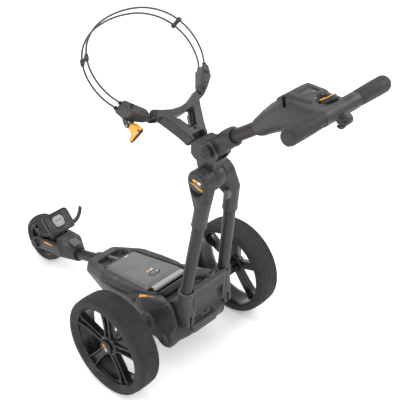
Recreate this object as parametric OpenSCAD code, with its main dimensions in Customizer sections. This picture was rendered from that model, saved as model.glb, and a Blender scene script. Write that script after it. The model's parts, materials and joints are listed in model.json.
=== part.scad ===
// Electric golf trolley: three wheels, a sloped battery deck, two folding legs,
// a padded bag bracket with elastic straps, and a T handle with a speed dial.
// Millimetres. +Z is up, the front wheel points to -Y, the trolley's left side is +X.

/* [Wheels] */
// Distance between the rear axle and the front axle
wheelbase = 610; // [590:5:630]
// Rear wheel radius
wheel_r = 150; // [148:1:152]
// Rear tyre width
tyre_w = 78; // [66:2:80]
// Distance from the centre plane to the middle of a rear tyre
wheel_x = 249; // [245:1:255]
// Front wheel radius
front_r = 80; // [76:1:82]
// Front tyre width
front_w = 58; // [50:2:60]

/* [Drive] */
// Rear axle diameter
axle_d = 12; // [10:1:12]
// Teeth on the axle gear
gear_teeth = 56; // [56:14:56]
// Teeth on the motor pinion
pinion_teeth = 14; // [14:1:14]
// Gear module
gear_m = 1.25; // [1.25:0.25:1.25]

/* [Deck] */
// Slope of the battery deck, front end down, in degrees
deck_tilt = 9.5; // [8:0.5:11]
// Height of the middle of the battery's top face
deck_z = 197; // [195:1:200]
// Battery depth
battery_h = 80; // [70:1:80]

/* [Frame] */
// Outside diameter of the frame tubes
tube_d = 34; // [32:1:34]
// Wall of the frame tubes
tube_wall = 1.8; // [1.2:0.2:3]
// Height of the middle fold axis
fold_z = 642; // [640:1:644]

/* [Handle] */
// Slope of the handle tube above the horizontal, in degrees
handle_tilt = 36; // [34:1:38]
// Distance from the centre plane to a grip's end
grip_reach = 172; // [160:2:180]
// Grip diameter
grip_d = 38; // [34:1:40]

/* [Bag bracket] */
// Slope of the plane of the bag bracket and its straps, in degrees
bag_tilt = 41.5; // [38:0.5:45]
// Diameter of the elastic strap cord
cord_d = 5; // [4:0.5:6]
// Width of the strap latch's lever
latch_w = 12; // [10:1:14]

/* [Hidden] */
$fn = 64;

// Gap between solids of one body that sit in each other
fit = 0.1;
// Running fit of a pin in its bore, radial
run = 0.05;
// Gap between faces of bodies that move past each other
gap = 0.3;
charcoal = [0.24, 0.24, 0.25];
dark = [0.16, 0.16, 0.17];
graphite = [0.42, 0.42, 0.43];
bronze = [0.30, 0.28, 0.27];
steel = [0.72, 0.73, 0.75];
orange = [0.95, 0.60, 0.15];

// Rear axle, chosen so that the trolley's length is centred on the origin
axle_y = 72;
axle_r = axle_d / 2;
front_y = axle_y - wheelbase;
tube_r = tube_d / 2;

// Drive train
gear_r = gear_m * gear_teeth / 2;
pinion_r = gear_m * pinion_teeth / 2;
centres = gear_r + pinion_r;
drop = 25;
motor_y = axle_y + centres * cos(drop);
motor_z = wheel_r - centres * sin(drop);
motor_r = 27;
tooth_fill = 0.9;

// Battery outline on the deck: front and rear half widths, half length
bat_front = 57;
bat_rear = 73;
bat_half = 103;

// Legs: foot pivot, lower and upper ends of the left tube's axis
foot_y = 147;
foot_z = 225;
leg_low = [76, 184, 284];
leg_top = [54.5, 231, 600];
fold_y = 208;
ear_r = 37;
ear_in = 18;
latch_pin_y = 240;
latch_pin_z = 596;
ear_out = 52;

// Handle pivot and bag bracket
hub_y = 225;
hub_z = 735;
bag_y = 92;
bag_z = 815;
wing_x = 83;
loop_s = 340.7;
loop_n = -50;
latch_x = 135;
latch_y = 52;
latch_z = 788.5;

// Strap route on the bracket's plane, left half from the wing to the middle
strap_half = [
    [152, -66], [164, -88], [172, -114], [175, -142], [172, -172], [161, -202],
    [142, -230], [114, -253], [79, -270], [40, -279], [0, -282]
];
strap_upper_z = -10;
strap_lower_z = -38;

// ---------------------------------------------------------------- helpers
module both() {
    children();
    mirror([1, 0, 0]) children();
}

// A cylinder along X
module bar_x(x0, x1, y, z, r) {
    translate([x0, y, z]) rotate([0, 90, 0]) cylinder(r = r, h = x1 - x0);
}

// An outline in Y and Z, extruded along X
module side(x0, x1) {
    translate([x0, 0, 0]) rotate([90, 0, 90]) linear_extrude(x1 - x0) children();
}

// The battery deck's frame: Y up the slope, Z square to it
module deck() {
    translate([0, axle_y - 153, deck_z]) rotate([deck_tilt, 0, 0]) children();
}

// The handle tube's frame: Y along the tube, Z square to it
module along_handle() {
    translate([0, 296, 799]) rotate([handle_tilt, 0, 0]) children();
}

// The bag bracket's frame: -Y towards the bag, Z along the bag
module along_bag() {
    translate([0, bag_y, bag_z]) rotate([-bag_tilt, 0, 0]) children();
}

// The cradle's frame: Z up the plate, Y square to it
module along_cradle() {
    translate([0, front_y + 95, front_r + 73]) rotate([45, 0, 0]) children();
}

// Children's Z axis laid along the line from p to q, starting at p
module aim(p, q) {
    v = q - p;
    translate(p) rotate([0, acos(v[2] / norm(v)), atan2(v[1], v[0])]) children();
}

module rounded(w, d, r) {
    for (x = [-1, 1], y = [-1, 1]) translate([x * (w / 2 - r), y * (d / 2 - r)]) circle(r);
    square([w - 2 * r, d], center = true);
    square([w, d - 2 * r], center = true);
}

module slot(w, d) {
    for (x = [-1, 1]) translate([x * (w - d) / 2, 0]) circle(d / 2);
    square([w - d, d], center = true);
}

// Involute gear outline with one tooth on the X axis
function involute(rb, r) = let(t = sqrt(pow(r / rb, 2) - 1)) t * 180 / PI - atan(t);
function tooth_half(z, rp, rb, r) = 90 / z * tooth_fill + involute(rb, rp) - involute(rb, r);
function polar(r, a) = [r * cos(a), r * sin(a)];
function tooth(z, rp, rb, rr, rt, a) = concat(
    [polar(rr, a - tooth_half(z, rp, rb, rb))],
    [for (k = [0:3]) let(r = rb + (rt - rb) * k / 3) polar(r, a - tooth_half(z, rp, rb, r))],
    [for (k = [3:-1:0]) let(r = rb + (rt - rb) * k / 3) polar(r, a + tooth_half(z, rp, rb, r))],
    [polar(rr, a + tooth_half(z, rp, rb, rb))]
);
function gear_outline(z) = let(
    rp = gear_m * z / 2,
    rb = rp * cos(20),
    rr = min(rp - 1.15 * gear_m, rb - 0.2),
    rt = rp + 0.85 * gear_m
) [for (i = [0:z - 1]) each tooth(z, rp, rb, rr, rt, 360 / z * i)];

// A round tube along a flat route, swept one ring for each point
function smooth(p, i, t) = let(
    n = len(p) - 1,
    a = p[max(i - 1, 0)], b = p[i], c = p[min(i + 1, n)], d = p[min(i + 2, n)]
) 0.5 * (2 * b + (c - a) * t + (2 * a - 5 * b + 4 * c - d) * t * t + (3 * b - a - 3 * c + d) * t * t * t);
function route(p, k) = concat(
    [for (i = [0:len(p) - 2], j = [0:k - 1]) smooth(p, i, j / k)], [p[len(p) - 1]]);
function whole(h) = concat(h, [for (i = [len(h) - 2:-1:0]) [-h[i][0], h[i][1]]]);
function ring(p, d, r, z, n) = let(u = d / norm(d)) [
    for (j = [0:n - 1]) let(a = 360 / n * j)
        [p[0] - u[1] * r * cos(a), p[1] + u[0] * r * cos(a), z + r * sin(a)]
];
module flat_tube(path, r, z, n) {
    m = len(path);
    rings = [for (i = [0:m - 1])
        each ring(path[i], path[min(i + 1, m - 1)] - path[max(i - 1, 0)], r, z, n)];
    walls = [for (i = [0:m - 2], j = [0:n - 1])
        [i * n + j, i * n + (j + 1) % n, (i + 1) * n + (j + 1) % n, (i + 1) * n + j]];
    ends = [[for (j = [n - 1:-1:0]) j], [for (j = [0:n - 1]) (m - 1) * n + j]];
    polyhedron(rings, concat(walls, ends));
}

// ---------------------------------------------------------------- chassis
// The deck casing's volume, drawn in by an inset, between two levels
module tub(inset, top, bottom) {
    deck() hull() {
        for (s = [-1, 1]) {
            translate([s * 46, -174, top]) cylinder(r = 22 - inset, h = 1, $fn = 32);
            translate([s * 87, -68, top]) cylinder(r = 25 - inset, h = 1, $fn = 32);
            translate([s * 99, 98, top]) cylinder(r = 22 - inset, h = 1, $fn = 32);
            translate([s * 36, -148, bottom]) cylinder(r = 16 - inset, h = 1, $fn = 32);
            translate([s * 72, -50, bottom]) cylinder(r = 20 - inset, h = 1, $fn = 32);
            translate([s * 76, 90, bottom]) cylinder(r = 20 - inset, h = 1, $fn = 32);
        }
    }
}

// The rear casing's volume, drawn in by an inset
module rear_box(inset) {
    hull() {
        bar_x(-116 + inset, 116 - inset, axle_y - 12, wheel_r - 10, 44 - inset, $fn = 40);
        bar_x(-116 + inset, 116 - inset, axle_y + 50, wheel_r - 28, 40 - inset, $fn = 40);
        bar_x(-56 + inset, 56 - inset, axle_y + 84, wheel_r - 20, 26 - inset, $fn = 40);
        bar_x(-45 + inset, 45 - inset, foot_y + 2, foot_z - 20, 16 - inset, $fn = 40);
    }
}

module lower_case() {
    color(charcoal) difference() {
        union() {
            difference() {
                union() {
                    tub(0, -27, -87);
                    rear_box(0);
                    both() bar_x(100, 196, axle_y, wheel_r, 24);
                    both() bar_x(78, 103, axle_y, wheel_r, gear_r + 6);
                }
                both() bar_x(82, 99, axle_y, wheel_r, gear_r + 2.5);
                tub(4, -24, -83);
                tub(4, 4, -60);
                rear_box(4);
            }
            // Battery floor, motor saddle, bumper ribs and the neck's collar
            deck() translate([-50, -96, -84]) cube([100, 180, 4]);
            for (x = [-22, 46]) translate([x, motor_y - 20, 84]) cube([8, 40, motor_z - 90]);
            bar_x(-50, 50, axle_y + 108, wheel_r - 12, 3.5);
            bar_x(-48, 48, axle_y + 106, wheel_r - 26, 3.5);
            aim([0, -245, 131.5], [0, -300, 115]) cylinder(r = 25, h = 34);
        }
        both() bar_x(90, 188, axle_y, wheel_r, 9);
        both() bar_x(186, 197, axle_y, wheel_r, 14 + fit / 2);
        both() side(58.5, 94.5) polygon([
            [126, 225], [129, 212], [138, 204], [146, 203], [190, 174], [215, 174], [215, 250],
            [140, 250], [126, 238]
        ]);
        bar_x(-40, 70, motor_y, motor_z, motor_r + run);
        aim([0, -235, 134.5], [0, -300, 115]) cylinder(r = tube_r + fit, h = 80);
        translate([-14.1, foot_y + 9, 170]) cube([28.2, 40, 26]);
        both() translate([46.5, foot_y - 18, foot_z - 60]) cube([12, 36, 60]);
        both() translate([94.5, foot_y - 18, foot_z - 60]) cube([12, 36, 60]);
        both() translate([30, axle_y + 76, 60]) cylinder(r = 2.6, h = 60);
        both() translate([84, axle_y, 60]) cylinder(r = 2.6, h = 60);
    }
}

// Battery opening in the deck's cover
module bay_outline(grow) {
    polygon([
        [-bat_front - grow, -bat_half - grow], [bat_front + grow, -bat_half - grow],
        [bat_rear + grow, bat_half + grow], [62, bat_half + 40], [-62, bat_half + 40],
        [-bat_rear - grow, bat_half + grow]
    ]);
}

module top_surround() {
    color(charcoal) deck() difference() {
        hull() {
            for (s = [-1, 1]) {
                translate([s * 46, -174, -26]) cylinder(r = 22, h = 1, $fn = 32);
                translate([s * 87, -68, -26]) cylinder(r = 25, h = 1, $fn = 32);
                translate([s * 99, 130, -26]) cylinder(r = 22, h = 1, $fn = 32);
                translate([s * 42, -172, -13]) cylinder(r = 14, h = 1, $fn = 32);
                translate([s * 74, -68, -7]) cylinder(r = 14, h = 1, $fn = 32);
                translate([s * 82, 138, -7]) cylinder(r = 14, h = 1, $fn = 32);
            }
        }
        translate([0, 0, -40]) linear_extrude(60) bay_outline(1.5);
        translate([0, -128, -40]) linear_extrude(60) rounded(92, 46, 10);
        rotate([-deck_tilt, 0, 0]) translate([0, 153 - axle_y, -deck_z])
            aim([0, -225, 137.5], [0, -300, 115]) cylinder(r = 25 + fit, h = 90);
    }
}

module bay_connector() {
    color(graphite) deck() {
        translate([-9, -151 + fit, -24]) cube([18, 46 - fit, 12]);
        translate([-24, -114, -60]) cube([48, 8, 36]);
    }
}

module rear_socket() {
    color(dark) difference() {
        translate([-14, foot_y + 10, 170 + fit]) cube([28, 30, 25.8]);
        translate([-9, foot_y + 34, 176]) cube([18, 10, 14]);
    }
}

module hinge_brackets() {
    color(charcoal) both() difference() {
        for (x = [46.6, 94.6]) union() {
            bar_x(x, x + 11.8, foot_y, foot_z, 17.9);
            translate([x, foot_y - 17.9, foot_z - 59]) cube([11.8, 35.8, 59]);
        }
        bar_x(40, 110, foot_y, foot_z, 6 + run);
    }
}

module hinge_pins() {
    color(steel) both() {
        bar_x(46.7, 109, foot_y, foot_z, 6);
        bar_x(106.5, 112, foot_y, foot_z, 11);
    }
}

module case_screws() {
    color(steel) {
        both() translate([30, axle_y + 76, 92]) cylinder(r = 2.5, h = 20);
        both() translate([84, axle_y, 92]) cylinder(r = 2.5, h = 20);
    }
}

module motor_case() {
    color(steel) difference() {
        bar_x(-34, 70, motor_y, motor_z, motor_r);
        bar_x(-30, 64, motor_y, motor_z, motor_r - 4);
        bar_x(-40, 80, motor_y, motor_z, 4 + run);
    }
}

module motor_rotor() {
    color(graphite) {
        bar_x(-34, 97, motor_y, motor_z, 4);
        bar_x(-26, 60, motor_y, motor_z, motor_r - 5.5);
    }
}

module motor_pinion() {
    color(steel) difference() {
        translate([84, motor_y, motor_z]) rotate([90, 0, 90]) rotate([0, 0, 180 - drop])
            linear_extrude(12) rotate(180 / pinion_teeth) polygon(gear_outline(pinion_teeth));
        bar_x(80, 100, motor_y, motor_z, 4 + fit / 2);
    }
}

module axle_bearings() {
    color(steel) both() difference() {
        bar_x(188.1, 195.9, axle_y, wheel_r, 14);
        bar_x(180, 200, axle_y, wheel_r, axle_r + run);
    }
}

module drive_axle() {
    color(steel) difference() {
        bar_x(-258, 258, axle_y, wheel_r, axle_r);
        both() translate([211, axle_y, wheel_r - 20]) cylinder(r = 2.5, h = 40);
    }
}

module drive_pins() {
    color(steel) both() translate([211, axle_y, wheel_r - 17]) cylinder(r = 2.45, h = 34);
}

module axle_gear() {
    color([0.85, 0.83, 0.78]) difference() {
        union() {
            translate([85, axle_y, wheel_r]) rotate([90, 0, 90]) rotate([0, 0, -drop])
                linear_extrude(10) polygon(gear_outline(gear_teeth));
            bar_x(78, 100, axle_y, wheel_r, 13);
        }
        bar_x(70, 110, axle_y, wheel_r, axle_r + fit / 2);
        for (a = [0:60:300]) translate([84, axle_y, wheel_r]) rotate([a, 0, 0])
            translate([0, 22.5, 0]) rotate([0, 90, 0]) cylinder(r = 6, h = 12);
    }
}

module neck_tube() {
    color(bronze) aim([0, -238, 133.6], [0, -300, 115]) difference() {
        cylinder(r = tube_r, h = 186);
        translate([0, 0, -1]) cylinder(r = tube_r - tube_wall, h = 190);
    }
}

module front_fork() {
    color(dark) difference() {
        union() {
            hull() {
                translate([-40, front_y + 98, 76]) cube([80, 44, 50]);
                translate([-48, front_y + 104, 82]) cube([96, 28, 36]);
                aim([0, -392, 87.4], [0, -300, 115]) cylinder(r = 24, h = 40, $fn = 32);
            }
            both() hull() {
                bar_x(36, 48, front_y, front_r, 21, $fn = 32);
                bar_x(36, 48, front_y + 110, front_r + 20, 20, $fn = 32);
            }
        }
        both() bar_x(30, 50, front_y, front_r, 5 + run);
        aim([0, -425, 77.5], [0, -300, 115]) cylinder(r = tube_r + fit, h = 120);
        translate([0, front_y, front_r]) rotate([0, 90, 0]) cylinder(r = front_r + 8, h = 71, center = true);
    }
}

module front_axle() {
    color(steel) {
        bar_x(-48, 41, front_y, front_r, 5);
        bar_x(-54, -48, front_y, front_r, 9, $fn = 6);
        both() difference() {
            bar_x(30, 35.8, front_y, front_r, 9);
            bar_x(29, 37, front_y, front_r, 5 + fit);
        }
    }
}

module cradle_plate() {
    color(charcoal) difference() {
        union() {
            along_cradle() translate([0, 0, 34]) rotate([90, 0, 0]) linear_extrude(8)
                rounded(100, 68, 9);
            along_cradle() translate([-46, -14, 4]) cube([92, 7, 10]);
            translate([-30, front_y + 80, front_r + 46]) cube([60, 61, 24]);
        }
        along_cradle() translate([0, 1, 34]) rotate([90, 0, 0]) linear_extrude(3.5) {
            rounded(42.2, 34.2, 14);
            translate([0, -4]) rounded(30.2, 38.2, 14);
        }
    }
}

module cradle_badge() {
    color([0.62, 0.62, 0.63]) along_cradle() translate([0, 0, 34]) rotate([90, 0, 0])
        difference() {
            linear_extrude(2.4) union() {
                rounded(42, 34, 14);
                translate([0, -4]) rounded(30, 38, 14);
            }
            for (x = [-9, 0, 9]) translate([x, 4, -1]) cylinder(r = 2, h = 5);
        }
}

module cradle_wings() {
    color(charcoal) both() along_cradle() hull() {
        translate([50.1, -7, 10]) cube([3, 6, 24]);
        translate([86, 12, 38]) rotate([-100, 0, 30]) cylinder(r = 11, h = 6, $fn = 32);
    }
}

// ---------------------------------------------------------------- wheels
// A rear wheel's middle laid on X, its outer face towards +X
module at_wheel() {
    translate([wheel_x, axle_y, wheel_r]) rotate([0, 90, 0]) children();
}

module tyre() {
    inner = wheel_r - 24;
    at_wheel() rotate_extrude($fn = 128) difference() {
        union() {
            translate([inner, -tyre_w / 2]) square([14, tyre_w]);
            translate([inner, -tyre_w / 2 + 10]) square([24, tyre_w - 20]);
            for (s = [-1, 1]) translate([wheel_r - 10, s * (tyre_w / 2 - 10)]) circle(10);
        }
        for (x = [-18, 0, 18]) translate([wheel_r - 2, x - 1.2]) square([4, 2.4]);
    }
}

module rim() {
    inner = wheel_r - 24;
    at_wheel() difference() {
        union() {
            rotate_extrude($fn = 128) {
                translate([inner - 10, -37]) square([9.8, 74]);
                translate([inner - 26, 22]) square([18, 6]);
            }
            translate([0, 0, -42]) cylinder(r = 24, h = 50);
            translate([0, 0, 6]) linear_extrude(16.1) {
                circle(34);
                for (a = [0:72:288], s = [-1, 1]) rotate(a + s * 8) translate([20, -6])
                    square([98, 12]);
            }
        }
        translate([0, 0, -43]) cylinder(r = axle_r + run, h = 54);
        translate([0, 0, 9]) cylinder(r = 10 + run, h = 14);
        translate([-30, -2.8, -43]) cube([60, 5.6, 9]);
    }
}

module hub_button() {
    at_wheel() union() {
        translate([0, 0, 15]) cylinder(r = 10, h = 12);
        translate([0, 0, 27]) cylinder(r = 21, h = 5);
    }
}

module tyre_left() {
    color(charcoal) tyre();
}

module tyre_right() {
    color(charcoal) mirror([1, 0, 0]) tyre();
}

module rim_left() {
    color([0.06, 0.06, 0.07]) rim();
}

module rim_right() {
    color([0.06, 0.06, 0.07]) mirror([1, 0, 0]) rim();
}

module hub_button_left() {
    color(dark) hub_button();
}

module hub_button_right() {
    color(dark) mirror([1, 0, 0]) hub_button();
}

module at_front_wheel() {
    translate([0, front_y, front_r]) rotate([0, 90, 0]) children();
}

module front_tyre() {
    bead = front_r - 22;
    color(charcoal) at_front_wheel() rotate_extrude($fn = 96) difference() {
        union() {
            translate([bead, -front_w / 2]) square([8, front_w]);
            translate([bead, -front_w / 2 + 14]) square([22, front_w - 28]);
            for (s = [-1, 1]) translate([front_r - 14, s * (front_w / 2 - 14)]) circle(14);
        }
        translate([0, -front_w]) square([bead, 2 * front_w]);
    }
}

module front_rim() {
    color([0.06, 0.06, 0.07]) at_front_wheel() difference() {
        union() {
            rotate_extrude($fn = 96) translate([front_r - 29, -26]) square([6.8, 52]);
            translate([0, 0, -28]) cylinder(r = 16, h = 56);
            for (a = [0:60:300], z = [-24, 14]) rotate([0, 0, a]) translate([12, -4, z])
                cube([41, 8, 10]);
        }
        translate([0, 0, -30]) cylinder(r = 7, h = 60);
        for (z = [-30, 18]) translate([0, 0, z]) cylinder(r = 11 + fit / 2, h = 12);
    }
}

module front_bearings() {
    color(steel) at_front_wheel() for (z = [-27.9, 18.1]) translate([0, 0, z]) difference() {
        cylinder(r = 11, h = 9.8);
        translate([0, 0, -1]) cylinder(r = 5 + run, h = 12);
    }
}

module tracking_knob() {
    color(dark) {
        bar_x(43, 48.4, front_y, front_r, 5);
        bar_x(48.3, 60, front_y, front_r, 13);
        for (a = [0:60:300]) translate([48.3, front_y, front_r]) rotate([a, 0, 0])
            translate([0, 12, 0]) rotate([0, 90, 0]) cylinder(r = 3.5, h = 11.7);
    }
}

// ---------------------------------------------------------------- legs
module leg_base() {
    color(charcoal) difference() {
        union() {
            both() hull() {
                bar_x(60, 93, foot_y, foot_z, 19, $fn = 40);
                aim(leg_low, leg_top) translate([0, 0, -44]) cylinder(r = 20, h = 30, $fn = 40);
                bar_x(62, 91, 196, 186, 9, $fn = 32);
            }
            both() aim(leg_low, leg_top) translate([0, 0, -30]) cylinder(r = 22, h = 40);
            side(-66, 66) polygon([[186, 232], [198, 230], [206, 300], [200, 306], [194, 300]]);
            side(-60, 60) polygon([[180, 236], [187, 236], [187, 228], [172, 228]]);
        }
        both() bar_x(50, 100, foot_y, foot_z, 6 + run);
        both() bar_x(94.3, 112, foot_y, foot_z, 20);
        both() translate([94.3, foot_y - 20, foot_z - 62]) cube([20, 38.6, 62]);
        both() aim(leg_low, leg_top) translate([0, 0, -24]) cylinder(r = tube_r + fit, h = 60);
        both() translate([73, 196, 182]) cube([6, 14, 32]);
    }
}

module leg_tube() {
    color(bronze) aim(leg_low, leg_top) difference() {
        translate([0, 0, -23]) cylinder(r = tube_r, h = norm(leg_top - leg_low) + 22);
        translate([0, 0, -30]) cylinder(r = tube_r - tube_wall, h = norm(leg_top - leg_low) + 40);
    }
}

module leg_tube_left() {
    leg_tube();
}

module leg_tube_right() {
    mirror([1, 0, 0]) leg_tube();
}

module leg_head() {
    reach = norm(leg_top - leg_low);
    color(charcoal) bar_x(-39, -18.6, latch_pin_y, latch_pin_z, 2);
    color(charcoal) difference() {
        union() {
            both() hull() {
                bar_x(ear_in + 3, ear_out, fold_y, fold_z, ear_r, $fn = 48);
                aim(leg_low, leg_top) translate([0, 0, reach - 70]) cylinder(r = 21, h = 71, $fn = 48);
            }
            both() bar_x(ear_in, ear_out, fold_y, fold_z, ear_r);
            both() aim(leg_low, leg_top) translate([0, 0, reach - 100]) cylinder(r = 20, h = 60);
        }
        bar_x(-60, 60, fold_y, fold_z, 8 + run);
        both() bar_x(ear_out, ear_out + 30, fold_y, fold_z, 31 + fit);
        both() aim(leg_low, leg_top) translate([0, 0, reach - 110])
            cylinder(r = tube_r + fit, h = 110.2);
        translate([-ear_in, fold_y - 60, fold_z - ear_r - 1]) cube([2 * ear_in, 120, 100]);
        side(-34.3, -10) polygon([[228, 607], [252, 607], [266, 590], [266, 570], [229, 570]]);
    }
}

module pivot_caps() {
    color(dark) both() difference() {
        bar_x(ear_out + fit, ear_out + 5, fold_y, fold_z, 31);
        bar_x(ear_out + 3.6, ear_out + 6, fold_y, fold_z, 24);
    }
}

module fold_pin() {
    color(steel) bar_x(-ear_out, ear_out, fold_y, fold_z, 8);
}

module fold_latch() {
    color(dark) difference() {
        union() {
            bar_x(-34, -19, latch_pin_y, latch_pin_z, 5.5);
            side(-34, -19) polygon([[234, 600], [246, 600], [247, 584], [243, 575], [236, 576], [232.5, 588]]);
        }
        bar_x(-40, -10, latch_pin_y, latch_pin_z, 2 + run);
    }
}

// ---------------------------------------------------------------- upper frame
module frame_stem() {
    color(charcoal) difference() {
        union() {
            bar_x(-ear_in + gap, ear_in - gap, fold_y, fold_z, ear_r - 1);
            side(-ear_in + gap, ear_in - gap) polygon([
                [176, 655], [172, 666], [160, 712], [166, 738], [206, 745], [244, 712], [232, 680]
            ]);
            side(-32, 32) polygon([
                [162, 706], [164, 738], [178, 748], [206, 750], [240, 742], [248, 720], [236, 700],
                [206, 694], [176, 694]
            ]);
            bar_x(-32, 32, hub_y, hub_z, 24);
        }
        bar_x(-60, 60, fold_y, fold_z, 8 + run);
        bar_x(-60, 60, hub_y, hub_z, 6 + run);
        bar_x(-19.6, 19.6, hub_y, hub_z, 25.2);
        side(-19.6, 19.6) polygon([[224, 712], [262, 700], [262, 790], [206, 790], [206, 750]]);
    }
}

// Half of the bracket's arm outline, from the root to the wing's lugs
module bracket_outline() {
    difference() {
        hull() {
            translate([0, 96]) square([56, 50], center = true);
            for (s = [-1, 1]) translate([s * 52, 4]) circle(22, $fn = 32);
        }
        for (s = [-1, 1]) translate([s * 100, 92]) circle(62, $fn = 64);
        translate([0, -76]) circle(66, $fn = 64);
    }
    for (s = [-1, 1]) translate([s * 66, 0]) square([34, 24], center = true);
    for (s = [-1, 1]) translate([s * wing_x, 0]) circle(12);
}

module bracket_window() {
    hull() {
        for (s = [-1, 1]) translate([s * 27, 17]) circle(4, $fn = 24);
        translate([0, 64]) circle(5, $fn = 24);
    }
}

module bag_bracket() {
    color(charcoal) difference() {
        union() {
            along_bag() translate([0, 0, -38]) linear_extrude(36) difference() {
                bracket_outline();
                bracket_window();
            }
        }
        side(-40, 40) polygon([
            [157, 690], [159.8, 712], [163.9, 738.1], [178, 748.1], [206, 750.1], [260, 745], [260, 690]
        ]);
        bar_x(-20, 20, hub_y, hub_z, 70);
        along_bag() both() translate([wing_x, 0, -30]) cylinder(r = 14, h = 21);
        along_bag() both() translate([wing_x, -20, -30]) cube([40, 40, 21]);
        along_bag() both() translate([wing_x, 0, -60]) cylinder(r = 4 + run, h = 80);
    }
}

module wing_pins() {
    color(steel) along_bag() both() translate([wing_x, 0, 0]) {
        translate([0, 0, -38]) cylinder(r = 4, h = 40);
        translate([0, 0, -1.9]) cylinder(r = 7, h = 3);
    }
}

module wing() {
    difference() {
        union() {
            translate([wing_x, 0, -29.4]) cylinder(r = 9.5, h = 19.8);
            translate([wing_x + 2, -8, -29.4]) cube([18, 14, 19.8]);
            hull() {
                translate([wing_x + 23, -16, -36]) cylinder(r = 8, h = 34, $fn = 32);
                translate([wing_x + 20, -4, -36]) cylinder(r = 6, h = 34, $fn = 32);
                translate([136, -30, -47]) cylinder(r = 7, h = 46, $fn = 32);
                translate([144, -54, -46]) cylinder(r = 9, h = 45, $fn = 32);
            }
        }
        translate([wing_x, 0, -40]) cylinder(r = 4 + run, h = 60);
        translate([wing_x, 0, -60]) cylinder(r = 12.6, h = 30.6);
        translate([wing_x, 0, -9.6]) cylinder(r = 12.6, h = 20);
        hull() {
            translate([112, 2, -38]) cylinder(r = 9, h = 22, $fn = 24);
            translate([132, -14, -38]) cylinder(r = 9, h = 22, $fn = 24);
        }
    }
    // Glands that hold the strap's two strands, each ending where its cord begins
    d = route(strap_half, 2)[1] - strap_half[0];
    for (z = [strap_upper_z, strap_lower_z]) translate([strap_half[0][0], strap_half[0][1], z])
        rotate([0, 0, atan2(d[1], d[0])]) rotate([0, -90, 0]) translate([0, 0, 0.02])
            cylinder(r = 4.5, h = 6.4);
}

module wing_left() {
    x0 = latch_x - latch_w / 2 - gap - 4;
    x1 = latch_x + latch_w / 2 + gap;
    color(charcoal) {
        along_bag() wing();
        for (x = [x0, x1]) side(x, x + 4)
            polygon([[32, 812], [54, 802], [60, 790], [54, 780.5], [45, 782], [34, 796]]);
        bar_x(x0, x1 + 4, latch_y, latch_z, 2.5);
    }
}

module wing_right() {
    color(charcoal) along_bag() mirror([1, 0, 0]) wing();
}

module strap(z) {
    color(dark) along_bag() flat_tube(route(whole(strap_half), 2), cord_d / 2, z, 10);
}

module strap_cord_upper() {
    strap(strap_upper_z);
}

module strap_cord_lower() {
    strap(strap_lower_z);
}

module strap_spreader() {
    dir = strap_half[6] - strap_half[4];
    color(dark) along_bag() mirror([1, 0, 0]) translate([strap_half[5][0], strap_half[5][1], 0])
        rotate([0, 0, atan2(dir[1], dir[0])]) difference() {
            translate([-5, -5, strap_lower_z - 5.5]) cube([10, 10, strap_upper_z - strap_lower_z + 11]);
            for (z = [strap_upper_z, strap_lower_z]) translate([-8, 0, z]) rotate([0, 90, 0])
                cylinder(r = cord_d / 2 + 0.8, h = 16);
            translate([-6, -6, strap_lower_z + 8]) cube([12, 4, strap_upper_z - strap_lower_z - 16]);
        }
}

module strap_hook() {
    dir = strap_half[6] - strap_half[4];
    color(dark) along_bag() translate([strap_half[5][0], strap_half[5][1], 0])
        rotate([0, 0, atan2(dir[1], dir[0])]) difference() {
            union() {
                for (z = [strap_upper_z, strap_lower_z]) translate([-9, -4.5, z - 6]) cube([18, 9, 12]);
                for (s = [-1, 1]) translate([s * 7 - 2, -3, strap_lower_z + 5])
                    cube([4, 6, strap_upper_z - strap_lower_z - 10]);
                translate([-7, -3, (strap_upper_z + strap_lower_z) / 2 - 2]) cube([14, 6, 4]);
            }
            for (z = [strap_upper_z, strap_lower_z]) translate([-12, 0, z]) rotate([0, 90, 0])
                cylinder(r = cord_d / 2 + 0.8, h = 24);
        }
}

module strap_latch() {
    x0 = latch_x - latch_w / 2;
    color(orange) difference() {
        side(x0, x0 + latch_w) polygon([
            [46, 785], [48, 790.5], [57, 793], [75, 796.5], [94, 789], [91, 783], [61, 743], [54, 741],
            [56, 752], [60, 764], [56, 776], [48, 780]
        ]);
        bar_x(x0 - 1, x0 + latch_w + 1, latch_y, latch_z, 2.5 + run);
    }
}

// ---------------------------------------------------------------- handle
module handle_hub() {
    color(charcoal) difference() {
        union() {
            bar_x(-19.3, 19.3, hub_y, hub_z, 24.5);
            side(-19.3, 19.3) polygon([[226, 741], [236, 722], [272, 756], [262, 786], [212, 754]]);
            hull() {
                translate([0, 0, 0]) side(-19.3, 19.3) polygon([[254, 760], [264, 752], [250, 776], [242, 768]]);
                along_handle() translate([0, -34, 0]) rotate([-90, 0, 0]) cylinder(r = 25, h = 18, $fn = 48);
            }
            along_handle() translate([0, -30, 0]) rotate([-90, 0, 0]) cylinder(r = 27, h = 14);
        }
        bar_x(-40, 40, hub_y, hub_z, 6 + run);
        along_handle() translate([0, -32, 0]) rotate([-90, 0, 0]) cylinder(r = tube_r + fit, h = 60);
    }
}

module handle_tube() {
    color(bronze) along_handle() translate([0, -31.8, 0]) rotate([-90, 0, 0]) difference() {
        cylinder(r = tube_r, h = 150);
        translate([0, 0, -1]) cylinder(r = tube_r - tube_wall, h = 160);
    }
}

module handle_knob() {
    color(dark) {
        bar_x(-30, 33, hub_y, hub_z, 6);
        translate([32.4, hub_y, hub_z]) rotate([0, 90, 0]) linear_extrude(11.6) {
            circle(17);
            for (a = [0:45:315]) rotate(a) translate([16.5, 0]) circle(3);
        }
    }
}

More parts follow.
